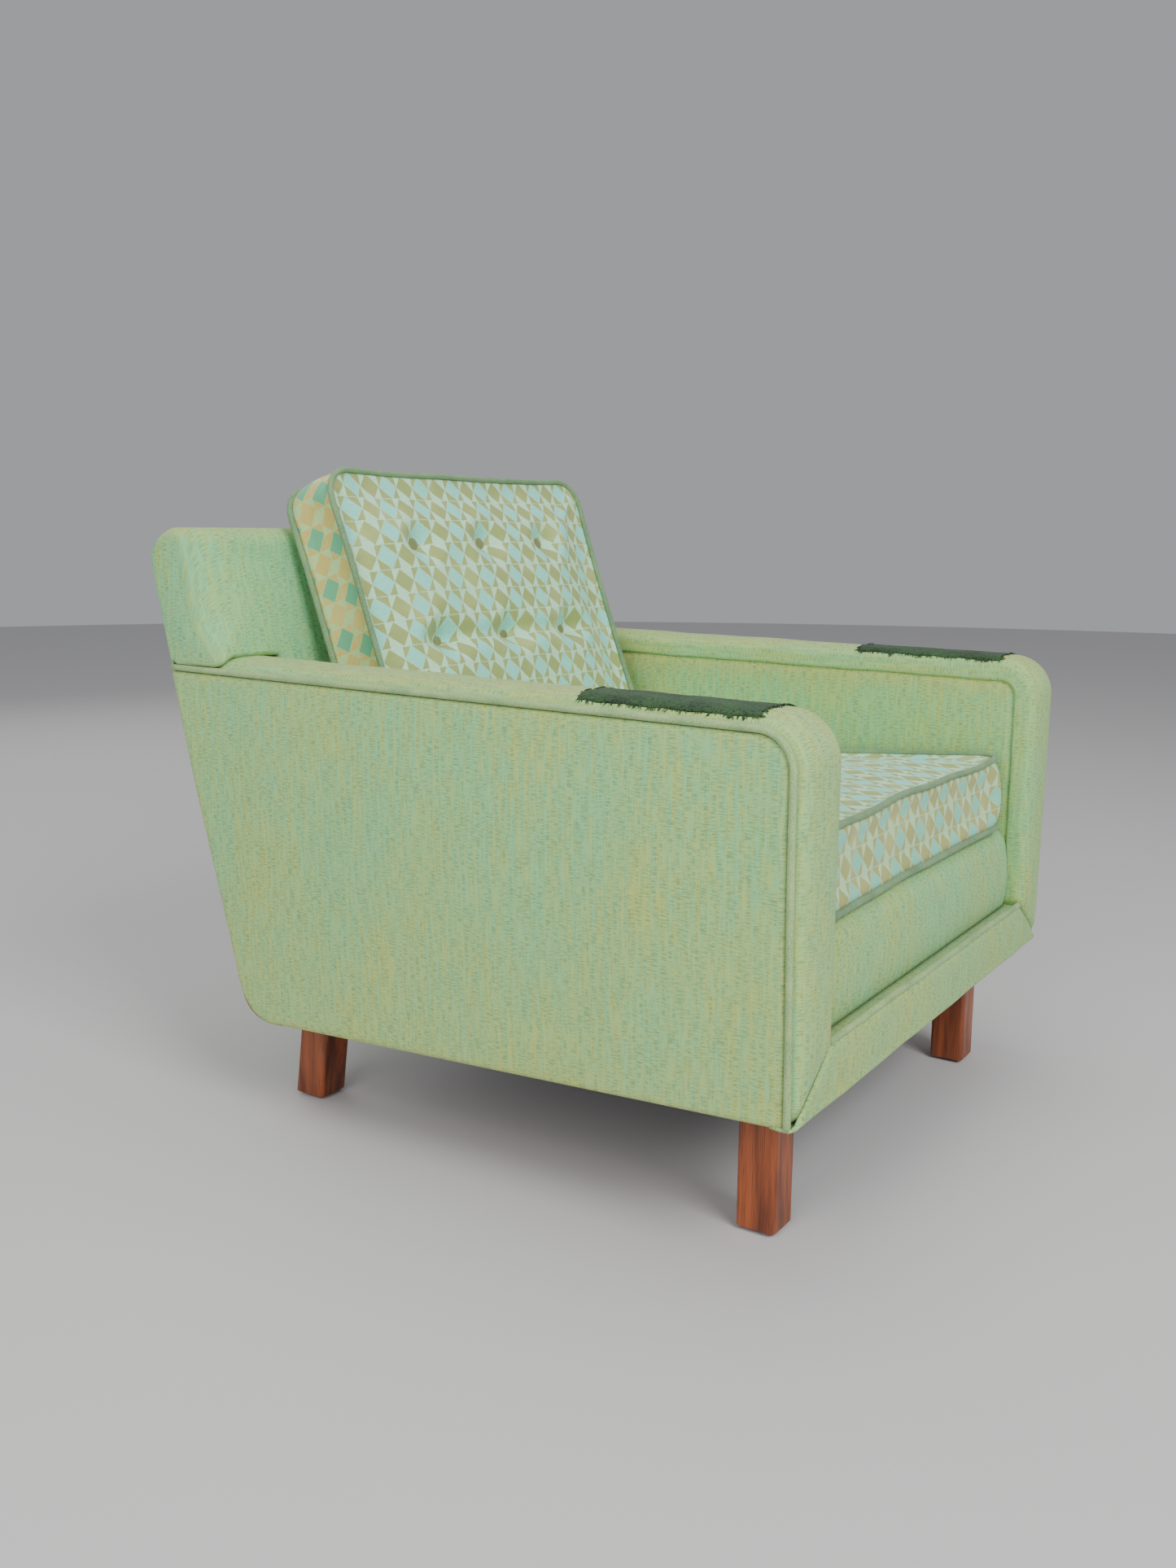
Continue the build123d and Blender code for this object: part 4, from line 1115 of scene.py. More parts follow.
    def build_fringe(self, surface: Array) -> bpy.types.Object:
        """Loose threads that stick out round a patch.

        Args:
            surface: The patch's surface grid.

        Returns:
            The threads, as one piece.
        """
        random = np.random.default_rng(17 + self.side.value)
        edges = [surface[0], surface[-1], surface[:, 0], surface[:, -1]]
        inward = [surface[3], surface[-4], surface[:, 2], surface[:, -3]]
        paths = []
        for edge, inner in zip(edges, inward):
            for _ in range(70 if len(edge) > 30 else 34):
                place = random.random() * (len(edge) - 1)
                i = int(place)
                start = edge[i] + (edge[i + 1] - edge[i]) * (place - i)
                out = edge[i] - inner[i]
                out = out / np.linalg.norm(out)
                along = (edge[i + 1] - edge[i]) / np.linalg.norm(edge[i + 1] - edge[i])
                reach = 0.0015 + 0.0035 * random.random() ** 2
                bend = (random.random() - 0.5) * 1.4
                steps = np.linspace(-0.25, 1.0, 5)[:, None]
                line = start + out * reach * steps + along * reach * bend * steps**2
                line[:, 2] += 0.0006 - 0.0016 * steps[:, 0] ** 2
                paths.append(line)
        piece = tubes_piece(f"wool_threads_{self.tag}", paths, WOOL_THREAD, False, around=4)
        return self.wardrobe.place(piece, patch_wool, Body.CHAIR)

    def build(self) -> None:
        """Build every piece of the arm."""
        self.build_panel()
        self.build_border()
        self.build_inside()
        self.build_welt()
        self.build_patch()


@dataclass
class FrontSet:
    """Apron, apron welt, front roll and deck."""

    lines: ChairLines
    wardrobe: Wardrobe
    welt_radius: float = PIPING

    def build_apron(self) -> bpy.types.Object:
        """Apron: mitred to the arms, folded under at the bottom and back to the platform on top."""
        lines = self.lines
        low, high, y0 = lines.belly_front, lines.apron_top, lines.front_y
        profile = [(y0 + 0.022, low - 0.0005), (y0 + 0.010, low - 0.0010), (y0 + 0.003, low - 0.0006)]
        for part in np.concatenate([[0.0, 0.015, 0.04, 0.08], np.linspace(0.12, 0.96, 12)]):
            full = -0.0026 * math.sin(math.pi * part) ** 0.7
            ridge = -0.0012 * math.exp(-((part - 0.06) / 0.05) ** 2)
            profile.append((y0 + 0.0008 + full + ridge, low + 0.001 + (high - low - 0.001) * part))
        profile += [(y0 + 0.0022, high - 0.0006), (y0 + 0.006, high + 0.0002), (y0 + 0.022, high + 0.0004)]
        rows, uv = [], []
        for (y, z), length in zip(profile, lengths_along(profile)):
            share = min(max((z - low) / (high - low), 0.0), 1.0)
            half = lines.half_width + (lines.seat_half - lines.half_width) * share - 0.0004
            widest = lines.half_width
            xs = (lines_across(2 * widest, EDGE_LINES, 0.02) - widest) * half / widest
            tuck = 0.0022 * smooth(1 - (half - np.abs(xs)) / 0.005)
            wave = 0.0007 * wander(xs * 26 + z * 8, 3.0)
            rows.append(np.stack([xs, y + tuck + wave, np.full_like(xs, z)], -1))
            uv.append(np.stack([xs, np.full_like(xs, length)], -1))
        points = lines.flare(np.array(rows))
        wear_and_sheen = 0.35 * np.ones(points.shape[:2])
        piece = face_out(sheet_piece("apron_cloth", points, np.array(uv), BORDER_CLOTH, (0, -1, 0), wear_and_sheen))
        return self.wardrobe.place(piece, body_cloth, Body.CHAIR, "apron_panel")

    def build_welt(self) -> bpy.types.Object:
        """Welt along the apron's top."""
        low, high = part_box("apron_welt")
        xs = np.linspace(low.x, high.x, 90)
        y = (low.y + high.y) / 2 + 0.0004 * wander(xs * 40, 1.0)
        z = (low.z + high.z) / 2 - 0.001 + 0.0007 * wander(xs * 22, 5.0)
        piece = tubes_piece("apron_piping", [np.stack([xs, y, z], -1)], self.welt_radius, False)
        return self.wardrobe.place(piece, welt_cloth, Body.CHAIR, "apron_welt")

    def build_roll(self) -> bpy.types.Object:
        """Front roll: the padded front edge of the platform, drawn down at its ends."""
        lines = self.lines
        low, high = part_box("platform_cover")
        radius, tilt = 0.030, lines.seat_tilt()
        top = float(lines.seat(lines.platform_y)) - 0.0008
        centre = (lines.platform_y + radius, top - radius)
        profile = []
        for part in np.linspace(0, 1, 12):
            full = 0.0035 * math.sin(math.pi * part) ** 0.8
            profile.append((lines.platform_y - full, low.z + (centre[1] - low.z) * part))
        turns = np.linspace(math.pi, math.pi / 2 - tilt, 12)[1:]
        profile += [(centre[0] + radius * math.cos(a), centre[1] + radius * math.sin(a)) for a in turns]
        start = profile[-1]
        for y in np.linspace(start[0], high.y - 0.002, 6)[1:]:
            profile.append((y, start[1] - (y - start[0]) * math.tan(tilt)))
        profile.append((high.y, profile[-1][1] - 0.004))
        profile.append((high.y + 0.001, profile[-1][1] - 0.014))
        half = high.x - 0.0005
        xs = lines_across(2 * half, (0.0, 0.0006, 0.002, 0.004, 0.007, 0.011, 0.017), 0.016) - half
        ends = roll(half - np.abs(xs), 0.011)
        rows, uv = [], []
        for (y, z), length in zip(profile, lengths_along(profile)):
            up = min(max((z - low.z - 0.02) / 0.05, 0.0), 1.0)
            back = 1.0 if y < centre[0] else max(0.0, 1 - (y - centre[0]) / 0.02)
            sag = 0.0012 * wander(xs * 18, 2.0)
            rows.append(np.stack([xs, y + ends * back, z - ends * up * (1 - 0.6 * back) + sag * up], -1))
            uv.append(np.stack([xs, np.full_like(xs, length)], -1))
        points, outside = np.array(rows), (0, -1, 1)
        piece = face_out(sheet_piece("platform_front_roll", points, np.array(uv), BORDER_CLOTH, outside))
        return self.wardrobe.place(piece, body_cloth, Body.CHAIR, "platform_cover", "front_roll_pad")

    def build_deck(self) -> bpy.types.Object:
        """Deck under the seat cushion, from the front roll to the back."""
        lines = self.lines
        low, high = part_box("deck_cover")
        width, length = high.x - low.x, high.y - low.y
        xs, ys = lines_across(width, EDGE_LINES, 0.02), lines_across(length, EDGE_LINES, 0.02)
        flat, distance = round_corners(width, length, xs, ys, (0, 0, 0, 0))
        x, y = flat[..., 0] + low.x, flat[..., 1] + low.y
        hollow = 0.004 * smooth(distance / 0.12) + roll(distance, 0.004)
        z = lines.seat(y) - 0.0008 - hollow
        points = np.stack([x, y, z], -1)
        piece = face_out(sheet_piece("deck_cloth", points, np.stack([x, y], -1), DECK_CLOTH, (0, 0, 1)))
        return self.wardrobe.place(piece, body_cloth, Body.CHAIR, "deck_cover", "deck_pad")

    def build(self) -> None:
        """Build every piece of the front and the platform."""
        self.build_apron()
        self.build_welt()
        self.build_roll()
        self.build_deck()


@dataclass
class BackSet:
    """Upholstered back: shoulders and inside face in one, and the outside sheet."""

    lines: ChairLines
    wardrobe: Wardrobe
    rear_top_radius: float = 0.046
    middle_top_radius: float = 0.033
    front_top_radius: float = 0.026
    side_radius: float = 0.014
    front_side_radius: float = 0.056

    def loop(self, x: float) -> tuple[Array, Array]:
        """Side view of the back at a distance from the chair's middle.

        Args:
            x: Distance from the middle.

        Returns:
            Points (n, 2) as Y and Z round the back, and the cloth length to each.
        """
        lines = self.lines
        half = lines.half_width
        to_side = half - x
        side_drop = float(roll(np.array(to_side), self.side_radius))
        rear_drop = float(roll(np.array(to_side), 0.006))
        top = lines.back_top + 0.002 - side_drop
        rim = float(smooth(np.array(1 - to_side / 0.022)))
        shelf = float(lines.arm(lines.shoulder_y)) + 0.0035 - 0.0085 * rim
        foot = float(lines.seat(lines.seat_end)) - 0.02 if x < lines.seat_half - 0.003 else shelf
        break_z = float(lines.arm(lines.shoulder_y)) + 0.014
        under = float(roll(np.array(to_side), 0.004)) if foot == shelf else 0.0

        def rear_face(z: float) -> float:
            """Y of the back's rear side at a height."""
            return float(lines.rear(z, 0.003)) - rear_drop

        def front_face(z: float) -> float:
            """Y of the back's front side at a height."""
            grow = float(smooth(np.array((z - shelf - 0.004) / 0.050)))
            radius = 0.010 + (self.front_side_radius - 0.010) * grow
            gone = float(roll(np.array(to_side), radius)) * (1 - 0.36 * grow)
            full = 0.004 * float(smooth(np.array(to_side / 0.12)))
            return float(lines.rear(z, lines.back_thick + full)) + gone

        room = rear_face(top) - front_face(top)
        wide = float(smooth(np.array((x - 0.345) / 0.02)))
        rear_top = self.middle_top_radius + (self.rear_top_radius - self.middle_top_radius) * wide
        rear_r, front_r = min(rear_top, 0.68 * room), min(self.front_top_radius, 0.30 * room)
        points = [(rear_face(z), z) for z in np.linspace(foot + 0.006, break_z, 9)]
        points += [(rear_face(z), z) for z in np.linspace(break_z, top - rear_r, 9)[1:]]
        corner = top - rear_r
        for turn in np.linspace(0, math.pi / 2, 9)[1:]:
            z = corner + rear_r * math.sin(turn)
            lean = rear_r * lines.rear_slope() * math.sin(turn)
            points.append((rear_face(corner) + lean - rear_r * (1 - math.cos(turn)), z))
        rear_end = points[-1][0]
        front_z = top - front_r
        front_start = front_face(front_z) + front_r - 0.003
        points += [(y, top) for y in np.linspace(rear_end, front_start, 5)[1:]]
        for turn in np.linspace(0, math.pi / 2, 8)[1:]:
            y = front_start - front_r * math.sin(turn) + 0.003 * (turn / (math.pi / 2))
            points.append((y, front_z + front_r * math.cos(turn)))
        points += [(front_face(z), z) for z in np.linspace(front_z, break_z, 12)[1:]]
        points += [(front_face(z), z) for z in np.linspace(break_z, foot + 0.006, 9)[1:]]
        front_foot = points[-1][0]
        points += [(front_foot + 0.004, foot + 0.001 + under)]
        points += [(y, foot + under) for y in np.linspace(front_foot + 0.010, rear_face(foot) - 0.008, 5)]
        return np.array(points), lengths_along(points)

    def build_inside(self) -> bpy.types.Object:
        """Back upholstery: shoulders on the arm tops, and the stem between the arms."""
        lines = self.lines
        half = lines.half_width
        edge = [half - distance for distance in SHOULDER_LINES]
        step = [lines.seat_half - 0.002, lines.seat_half - 0.0035]
        middle = list(np.linspace(lines.seat_half - 0.02, 0.0, 14))
        right = edge + step + middle
        stations = [-x for x in right] + right[-2::-1]
        rows, lengths = [], []
        for x in stations:
            ring, length = self.loop(abs(x))
            rows.append(np.stack([np.full(len(ring), x), ring[:, 0], ring[:, 1]], -1))
            lengths.append(length)
        points = np.array(rows)
        count, columns = points.shape[:2]
        points = lines.flare(points)
        faces = grid_faces(count, columns, loop_rows=True)
        flat = np.stack([np.array(lengths), points[..., 0]], -1)
        corners = []
        for face in faces:
            along = [flat[v // columns, v % columns] for v in face]
            low = min(a[0] for a in along)
            for a in along:
                wrapped = a[0] if a[0] - low < 0.4 or low > 0.001 else -0.01
                corners.append((a[1], wrapped))
        caps = []
        for start in (0, (count - 1) * columns):
            caps.append(tuple(start + j for j in range(columns)))
        for cap in caps:
            faces.append(cap)
            corners += [tuple(points[v // columns, v % columns, 1:]) for v in cap]
        piece = make_object("back_cloth", points.reshape(-1, 3), faces, corners)
        store = piece.data.attributes.new("wear_and_sheen", "FLOAT", "POINT")
        z = points[..., 2].ravel()
        edge_x = half - np.abs(points[..., 0].ravel())
        rim = smooth((z - lines.back_top + 0.018) / 0.018)
        seat_rim = 0.35 * smooth(1 - (z - float(lines.arm(lines.seat_end))) / 0.02) * (edge_x < 0.08)
        store.data.foreach_set("value", (0.65 * rim + seat_rim).astype(np.float32))
        work = bmesh.new()
        work.from_mesh(piece.data)
        bmesh.ops.recalc_face_normals(work, faces=work.faces)
        bmesh.ops.triangulate(work, faces=[f for f in work.faces if len(f.verts) > 4])
        work.to_mesh(piece.data)
        work.free()
        face_out(piece)
        return self.wardrobe.place(piece, shoulder_cloth, Body.CHAIR, "inside_back_cover", "back_pad")

    def build_outside(self) -> bpy.types.Object:
        """Outside back: one sheet down the rear, turned under the body at the bottom."""
        lines = self.lines
        low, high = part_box("outside_back_cover")
        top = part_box("back_top_rail")[1].z + 0.004
        slope = lines.rear_slope()
        lean, straight_rows = math.atan(slope), 40
        heel, under = lines.heel, math.atan(lines.belly_slope)
        start_y = 0.29
        corner = float(lines.belly(float(lines.rear(float(lines.belly(start_y))))))
        reach = heel * math.tan((math.pi / 2 - lean - under) / 2)
        straight = np.linspace(top, corner + reach * math.cos(lean), straight_rows)
        profile = [(float(lines.rear(z)) - 0.0002, z) for z in straight]
        end = profile[-1]
        centre = (end[0] - heel * math.cos(lean), end[1] + heel * math.sin(lean))
        for angle in np.linspace(-lean, under - math.pi / 2, 14)[1:]:
            profile.append((centre[0] + heel * math.cos(angle), centre[1] + heel * math.sin(angle)))
        last = profile[-1]
        profile.append((last[0] - 0.018, float(lines.belly(last[0] - 0.018)) + 0.0002))
        half = high.x
        xs = lines_across(2 * half, EDGE_LINES, 0.02) - half
        rows, uv = [], []
        side_in = roll(half - np.abs(xs), 0.0035)
        for index, ((y, z), length) in enumerate(zip(profile, lengths_along(profile))):
            top_in = float(roll(np.array(top - z), 0.004)) if index < straight_rows else 0.0
            rows.append(np.stack([xs, y - side_in - top_in, np.full_like(xs, z)], -1))
            uv.append(np.stack([xs, np.full_like(xs, -length)], -1))
        points = lines.flare(np.array(rows))
        heights = np.array([place[1] for place in profile])
        faded = 0.3 * smooth(1 - (heights - low.z) / 0.2)
        wear_and_sheen = np.broadcast_to(faded[:, None], points.shape[:2])
        outside = (0, 1, 0)
        piece = face_out(sheet_piece("outside_back_cloth", points, np.array(uv), REAR_CLOTH, outside, wear_and_sheen))
        return self.wardrobe.place(piece, body_cloth, Body.CHAIR, "outside_back_cover")

    def build(self) -> None:
        """Build both pieces of the back."""
        self.build_inside()
        self.build_outside()


# ---------------------------------------------------------------- cushions
@dataclass
class Cushion:
    """A boxed cushion: two crowned panels, boxing between them, and piping on both seams."""

    lines: ChairLines
    wardrobe: Wardrobe
    name: str
    body: Body
    joint: str
    up_is_axis: bool
    crown_front: float
    crown_rear: float
    boxing_bulge: float
    pull_in: float
    cell: float = 0.010
    corner: float = 0.040
    piping_radius: float = PIPING
    boxing_finish: Finish = boxing_cloth
    simulate: bool = True
    cap: float = 0.012
    tufts: tuple[tuple[float, float], ...] = ()
    tuft_depth: float = 0.026

    def axes(self) -> tuple[Array, Array, Array]:
        """Unit directions of the cushion: across, along its length, and out of its front panel."""
        axis = np.array(next(j for j in frame["joints"] if j["name"] == self.joint)["axis"], float)
        across = np.array([1.0, 0.0, 0.0])
        along = axis if self.up_is_axis else -axis
        return across, along, np.cross(across, along)

    def measures(self) -> tuple[Array, float, float, float]:
        """Centre of the boxing, and the cushion's width, length and boxing height."""
        low, high = (np.array(corner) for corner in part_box(f"{self.name}_boxing"))
        _, along, _ = self.axes()
        c, s = abs(along[1]), abs(along[2])
        size_y, size_z = high[1] - low[1], high[2] - low[2]
        length = (size_y * c - size_z * s) / (c * c - s * s)
        deep = (size_z * c - size_y * s) / (c * c - s * s)
        return (low + high) / 2, high[0] - low[0], length, deep

    def seam_shape(self, x: Array, y: Array, width: float, length: float) -> tuple[Array, Array]:
        """Places with the sides drawn in between the corners."""
        u, v = 2 * x / width, 2 * y / length
        draw_x = self.pull_in * (1 - np.abs(v) ** 3.0) * np.abs(u) ** 3 * np.sign(u)
        draw_y = self.pull_in * (1 - np.abs(u) ** 3.0) * np.abs(v) ** 3 * np.sign(v)
        return x - draw_x, y - draw_y

    def dimple(self, x: Array, y: Array) -> Array:
        """Depth of the buttoned tufts at a place on the front panel."""
        depth = np.zeros_like(x)
        for bx, by in self.tufts:
            r = np.hypot(x - bx, y - by)
            depth += self.tuft_depth * np.exp(-((r / 0.030) ** 1.25))
        for by in sorted({by for _, by in self.tufts}):
            xs = sorted(bx for bx, b in self.tufts if b == by)
            inside = smooth((x - xs[0] + 0.075) / 0.05) * smooth((xs[-1] + 0.075 - x) / 0.05)
            strength = 0.0135 if by == min(b for _, b in self.tufts) else 0.0045
            depth += strength * np.exp(-(((y - by) / 0.013) ** 2)) * inside
        for bx in sorted({bx for bx, _ in self.tufts}):
            ys = sorted(b for x0, b in self.tufts if x0 == bx)
            inside = smooth((y - ys[0] + 0.04) / 0.04) * smooth((ys[-1] + 0.04 - y) / 0.04)
            depth += 0.003 * np.exp(-(((x - bx) / 0.016) ** 2)) * inside
        return depth

    def build(self) -> None:
        """Build the cushion's cover, its piping and its small pieces."""
        centre, width, length, deep = self.measures()
        across, along, out = self.axes()
        xs = lines_across(width, SEAM_LINES, self.cell)
        ys = lines_across(length, SEAM_LINES, self.cell)
        radii = (self.corner,) * 4
        flat, distance = round_corners(width, length, xs, ys, radii)
        x, y = flat[..., 0] - width / 2, flat[..., 1] - length / 2
        seam_x, seam_y = self.seam_shape(x, y, width, length)
        nx, ny = x.shape
        reach = np.minimum(1.0, distance / (0.42 * min(width, length)))
        dome = (1 - (1 - reach) ** 2.2) ** 0.9
        wave = 0.0020 * wander(x * 21 + y * 8, 1.0) * reach + 0.0016 * wander(y * 27 - x * 6, 3.0) * reach
        front_h = deep / 2 + self.crown_front * dome + wave
        dip = self.dimple(x, y)
        front_h = front_h - dip
        rear_h = -deep / 2 - self.crown_rear * dome + 0.6 * dip * (1 if self.tufts else 0)
        sag = 0.0028 * wander(x * 17, 2.0) * np.clip(1 - distance / 0.10, 0, 1)
        top = np.stack([seam_x, seam_y, front_h + sag], -1).reshape(-1, 3)
        bottom = np.stack([seam_x, seam_y, rear_h + 0.5 * sag], -1).reshape(-1, 3)
        if not self.tufts:
            bottom[:, 2] = np.maximum(bottom[:, 2], -deep / 2 - self.crown_rear)
        border = [i * ny for i in range(nx)]
        border += [(nx - 1) * ny + j for j in range(1, ny)]
        border += [i * ny + ny - 1 for i in range(nx - 2, -1, -1)]
        border += [j for j in range(ny - 2, 0, -1)]
        ring = len(border)
        levels = 9
        total = nx * ny
        points = [top, bottom]
        edge_top, edge_low = top[border], bottom[border]
        tangent = np.roll(edge_top, -1, 0) - np.roll(edge_top, 1, 0)
        normal = np.stack([tangent[:, 1], -tangent[:, 0]], -1)
        normal /= np.linalg.norm(normal, axis=1)[:, None]
        run = np.concatenate([[0.0], np.cumsum(np.linalg.norm(np.diff(edge_top[:, :2], axis=0), axis=1))])
        for level in range(1, levels):
            part = level / levels
            row = edge_top + (edge_low - edge_top) * part
            bulge = self.boxing_bulge * (4 * part * (1 - part)) ** 0.7
            pucker = 0.0007 * np.sin(run * 2 * math.pi / 0.041) * (1 - 4 * part * (1 - part))
            row = row.copy()
            row[:, :2] += normal * (bulge * (0.45 + 0.55 * np.abs(normal[:, 1])) + pucker)[:, None]
            points.append(row)
        local = np.concatenate(points)
        faces = grid_faces(nx, ny)
        panel = np.stack([x.ravel(), y.ravel()], -1)
        uvs = [tuple(panel[v]) for face in faces for v in face]
        low_faces = [tuple(v + total for v in reversed(face)) for face in faces]
        uvs += [tuple(panel[v - total] + (0.013, 0.007)) for face in low_faces for v in face]
        box_faces, box_uvs = [], []
        for level in range(levels):
            for k in range(ring):
                after = (k + 1) % ring
                head = [2 * total + (level - 1) * ring + q for q in (k, after)]
                foot = [2 * total + level * ring + q for q in (k, after)]
                if level == 0:
                    head = [border[k], border[after]]
                if level == levels - 1:
                    foot = [border[k] + total, border[after] + total]
                box_faces.append((head[0], head[1], foot[1], foot[0]))
                r0, r1 = run[k], run[k] + float(np.linalg.norm(edge_top[after, :2] - edge_top[k, :2]))
                h0, h1 = -deep * level / levels, -deep * (level + 1) / levels
                box_uvs += [(r0, h0), (r1, h0), (r1, h1), (r0, h1)]
        cover = make_object(f"{self.name}_cover", local, faces + low_faces + box_faces, uvs + box_uvs)
        kinds = [0] * (len(faces) + len(low_faces)) + [1] * len(box_faces)
        pins = border + [b + total for b in border]
        if self.tufts:
            near = [int(np.argmin(np.hypot(x - bx, y - by))) for bx, by in self.tufts]
            pins += near + [v + total for v in near]
        if self.simulate:
            give = np.ones(len(local))
            give[: 2 * total] = 1 - 0.95 * np.tile(np.clip(dip.ravel() / 0.010, 0, 1), 2)
            self.fill_out(cover, pins, give)
        basis = np.stack([across, along, out])
        shaped = np.empty(len(cover.data.vertices) * 3, np.float32)
        cover.data.vertices.foreach_get("co", shaped)
        shaped = shaped.reshape(-1, 3).astype(float)
        self.surface = shaped[:total]
        self.rear_surface = shaped[total : 2 * total]
        self.flat_places = panel
        cover.data.vertices.foreach_set("co", (shaped @ basis + centre).astype(np.float32).ravel())
        cover.data.update()
        face_out(cover)
        self.wardrobe.dress(cover, panel_cloth, self.boxing_finish)
        cover.data.polygons.foreach_set("material_index", kinds)
        soft = cover.modifiers.new("Soft", "SUBSURF")
        soft.levels = soft.render_levels = 1
        apply_modifiers(cover)
        nodes = [f"{self.name}_{part}" for part in self.cover_nodes()]
        self.wardrobe.place(cover, panel_cloth, self.body, *nodes)
        outset = self.piping_radius * 0.55
        loops = []
        for edge, lift in ((edge_top, 0.0006), (edge_low, -0.0006)):
            loop = edge.copy()
            loop[:, :2] += normal * outset
            loop[:, 2] += lift
            loops.append(self.even(loop) @ basis + centre)
        piping = tubes_piece(f"{self.name}_piping", loops, self.piping_radius, True)
        self.wardrobe.place(piping, piping_cloth, self.body, f"{self.name}_welts")
        self.build_extras(basis, centre, width, length, deep)

    def even(self, loop: Array) -> Array:
        """A closed path with its points evenly spaced."""
        closed = np.concatenate([loop, loop[:1]])
        run = np.concatenate([[0.0], np.cumsum(np.linalg.norm(np.diff(closed, axis=0), axis=1))])
        count = int(run[-1] / 0.007)
        at = np.linspace(0, run[-1], count + 1)[:-1]
        return np.stack([np.interp(at, run, closed[:, k]) for k in range(3)], -1)

    def fill_out(self, cover: bpy.types.Object, pins: list[int], give: Array) -> None:
        """Blow the cover up with cloth pressure while its seams and tufts are held.

        Args:
            cover: The cover, still lying flat at the origin.
            pins: Vertices that don't move.
            give: Share of the filling's push that each vertex takes up.
        """
        count = len(cover.data.vertices)
        start = np.empty(count * 3, np.float32)
        cover.data.vertices.foreach_get("co", start)
        held = cover.vertex_groups.new(name="seams")
        held.add(pins, 1.0, "REPLACE")
        cloth = cover.modifiers.new("Filling", "CLOTH")
        settings = cloth.settings
        settings.quality = 5
        settings.mass = 0.25
        settings.tension_stiffness = 18.0
        settings.compression_stiffness = 18.0
        settings.shear_stiffness = 8.0
        settings.bending_stiffness = 0.6
        settings.use_pressure = True
        settings.uniform_pressure_force = 4.0
        settings.effector_weights.gravity = 0.0
        settings.vertex_group_mass = "seams"
        cloth.point_cache.frame_start = 1
        cloth.point_cache.frame_end = 20
        scene = bpy.context.scene
        for number in range(1, 21):
            scene.frame_set(number)
        shape = cover.evaluated_get(bpy.context.evaluated_depsgraph_get())
        after = np.empty(count * 3, np.float32)
        shape.data.vertices.foreach_get("co", after)
        move = (after - start).reshape(-1, 3)
        size = np.linalg.norm(move, axis=1)
        keep = np.minimum(1.0, self.cap / np.maximum(size, 1e-9))
        final = start.reshape(-1, 3) + move * (keep * give)[:, None]
        log.info("%s: filled out by up to %.1f mm", cover.name, float(size.max() * 1000))
        cover.modifiers.remove(cloth)
        cover.vertex_groups.remove(held)
        cover.data.vertices.foreach_set("co", final.ravel())
        cover.data.update()
        scene.frame_set(1)

    def cover_nodes(self) -> Sequence[str]:
        """Parts of the cushion's CAD nodes that the cover stands for."""
        raise NotImplementedError

    def build_extras(self, basis: Array, centre: Array, width: float, length: float, deep: float) -> None:
        """Build what else the cushion has."""


@dataclass
class SeatCushion(Cushion):
    """Loose seat cushion with a zip at its rear."""

    def cover_nodes(self) -> Sequence[str]:
        """Parts that the cover stands for."""
        return ("bottom", "boxing", "core", "top")

    def build_extras(self, basis: Array, centre: Array, width: float, length: float, deep: float) -> None:
        """Zip along the rear boxing: a tape with teeth along its middle."""
        low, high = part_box("seat_cushion_zip")
        half, tall = (high.x - low.x) / 2, 0.012
        xs, hs = np.linspace(-half, half, 120), np.linspace(-tall / 2, tall / 2, 13)
        gx, gh = np.meshgrid(xs, hs, indexing="ij")
        middle = np.abs(gh) < 0.0026
        teeth = 0.0007 * (np.sin(gx * 2 * math.pi / 0.0075) > 0) * middle
        y = length / 2 - self.pull_in * 0.98 + self.boxing_bulge + 0.0012 + teeth
        points = np.stack([gx, y, gh], -1) @ basis + centre
        uv = np.stack([gx, gh], -1)
        piece = face_out(sheet_piece("seat_cushion_zipper", points, uv, ZIP_TAPE, (0, 1, 0)))
        self.wardrobe.place(piece, nylon, self.body, "seat_cushion_zip")


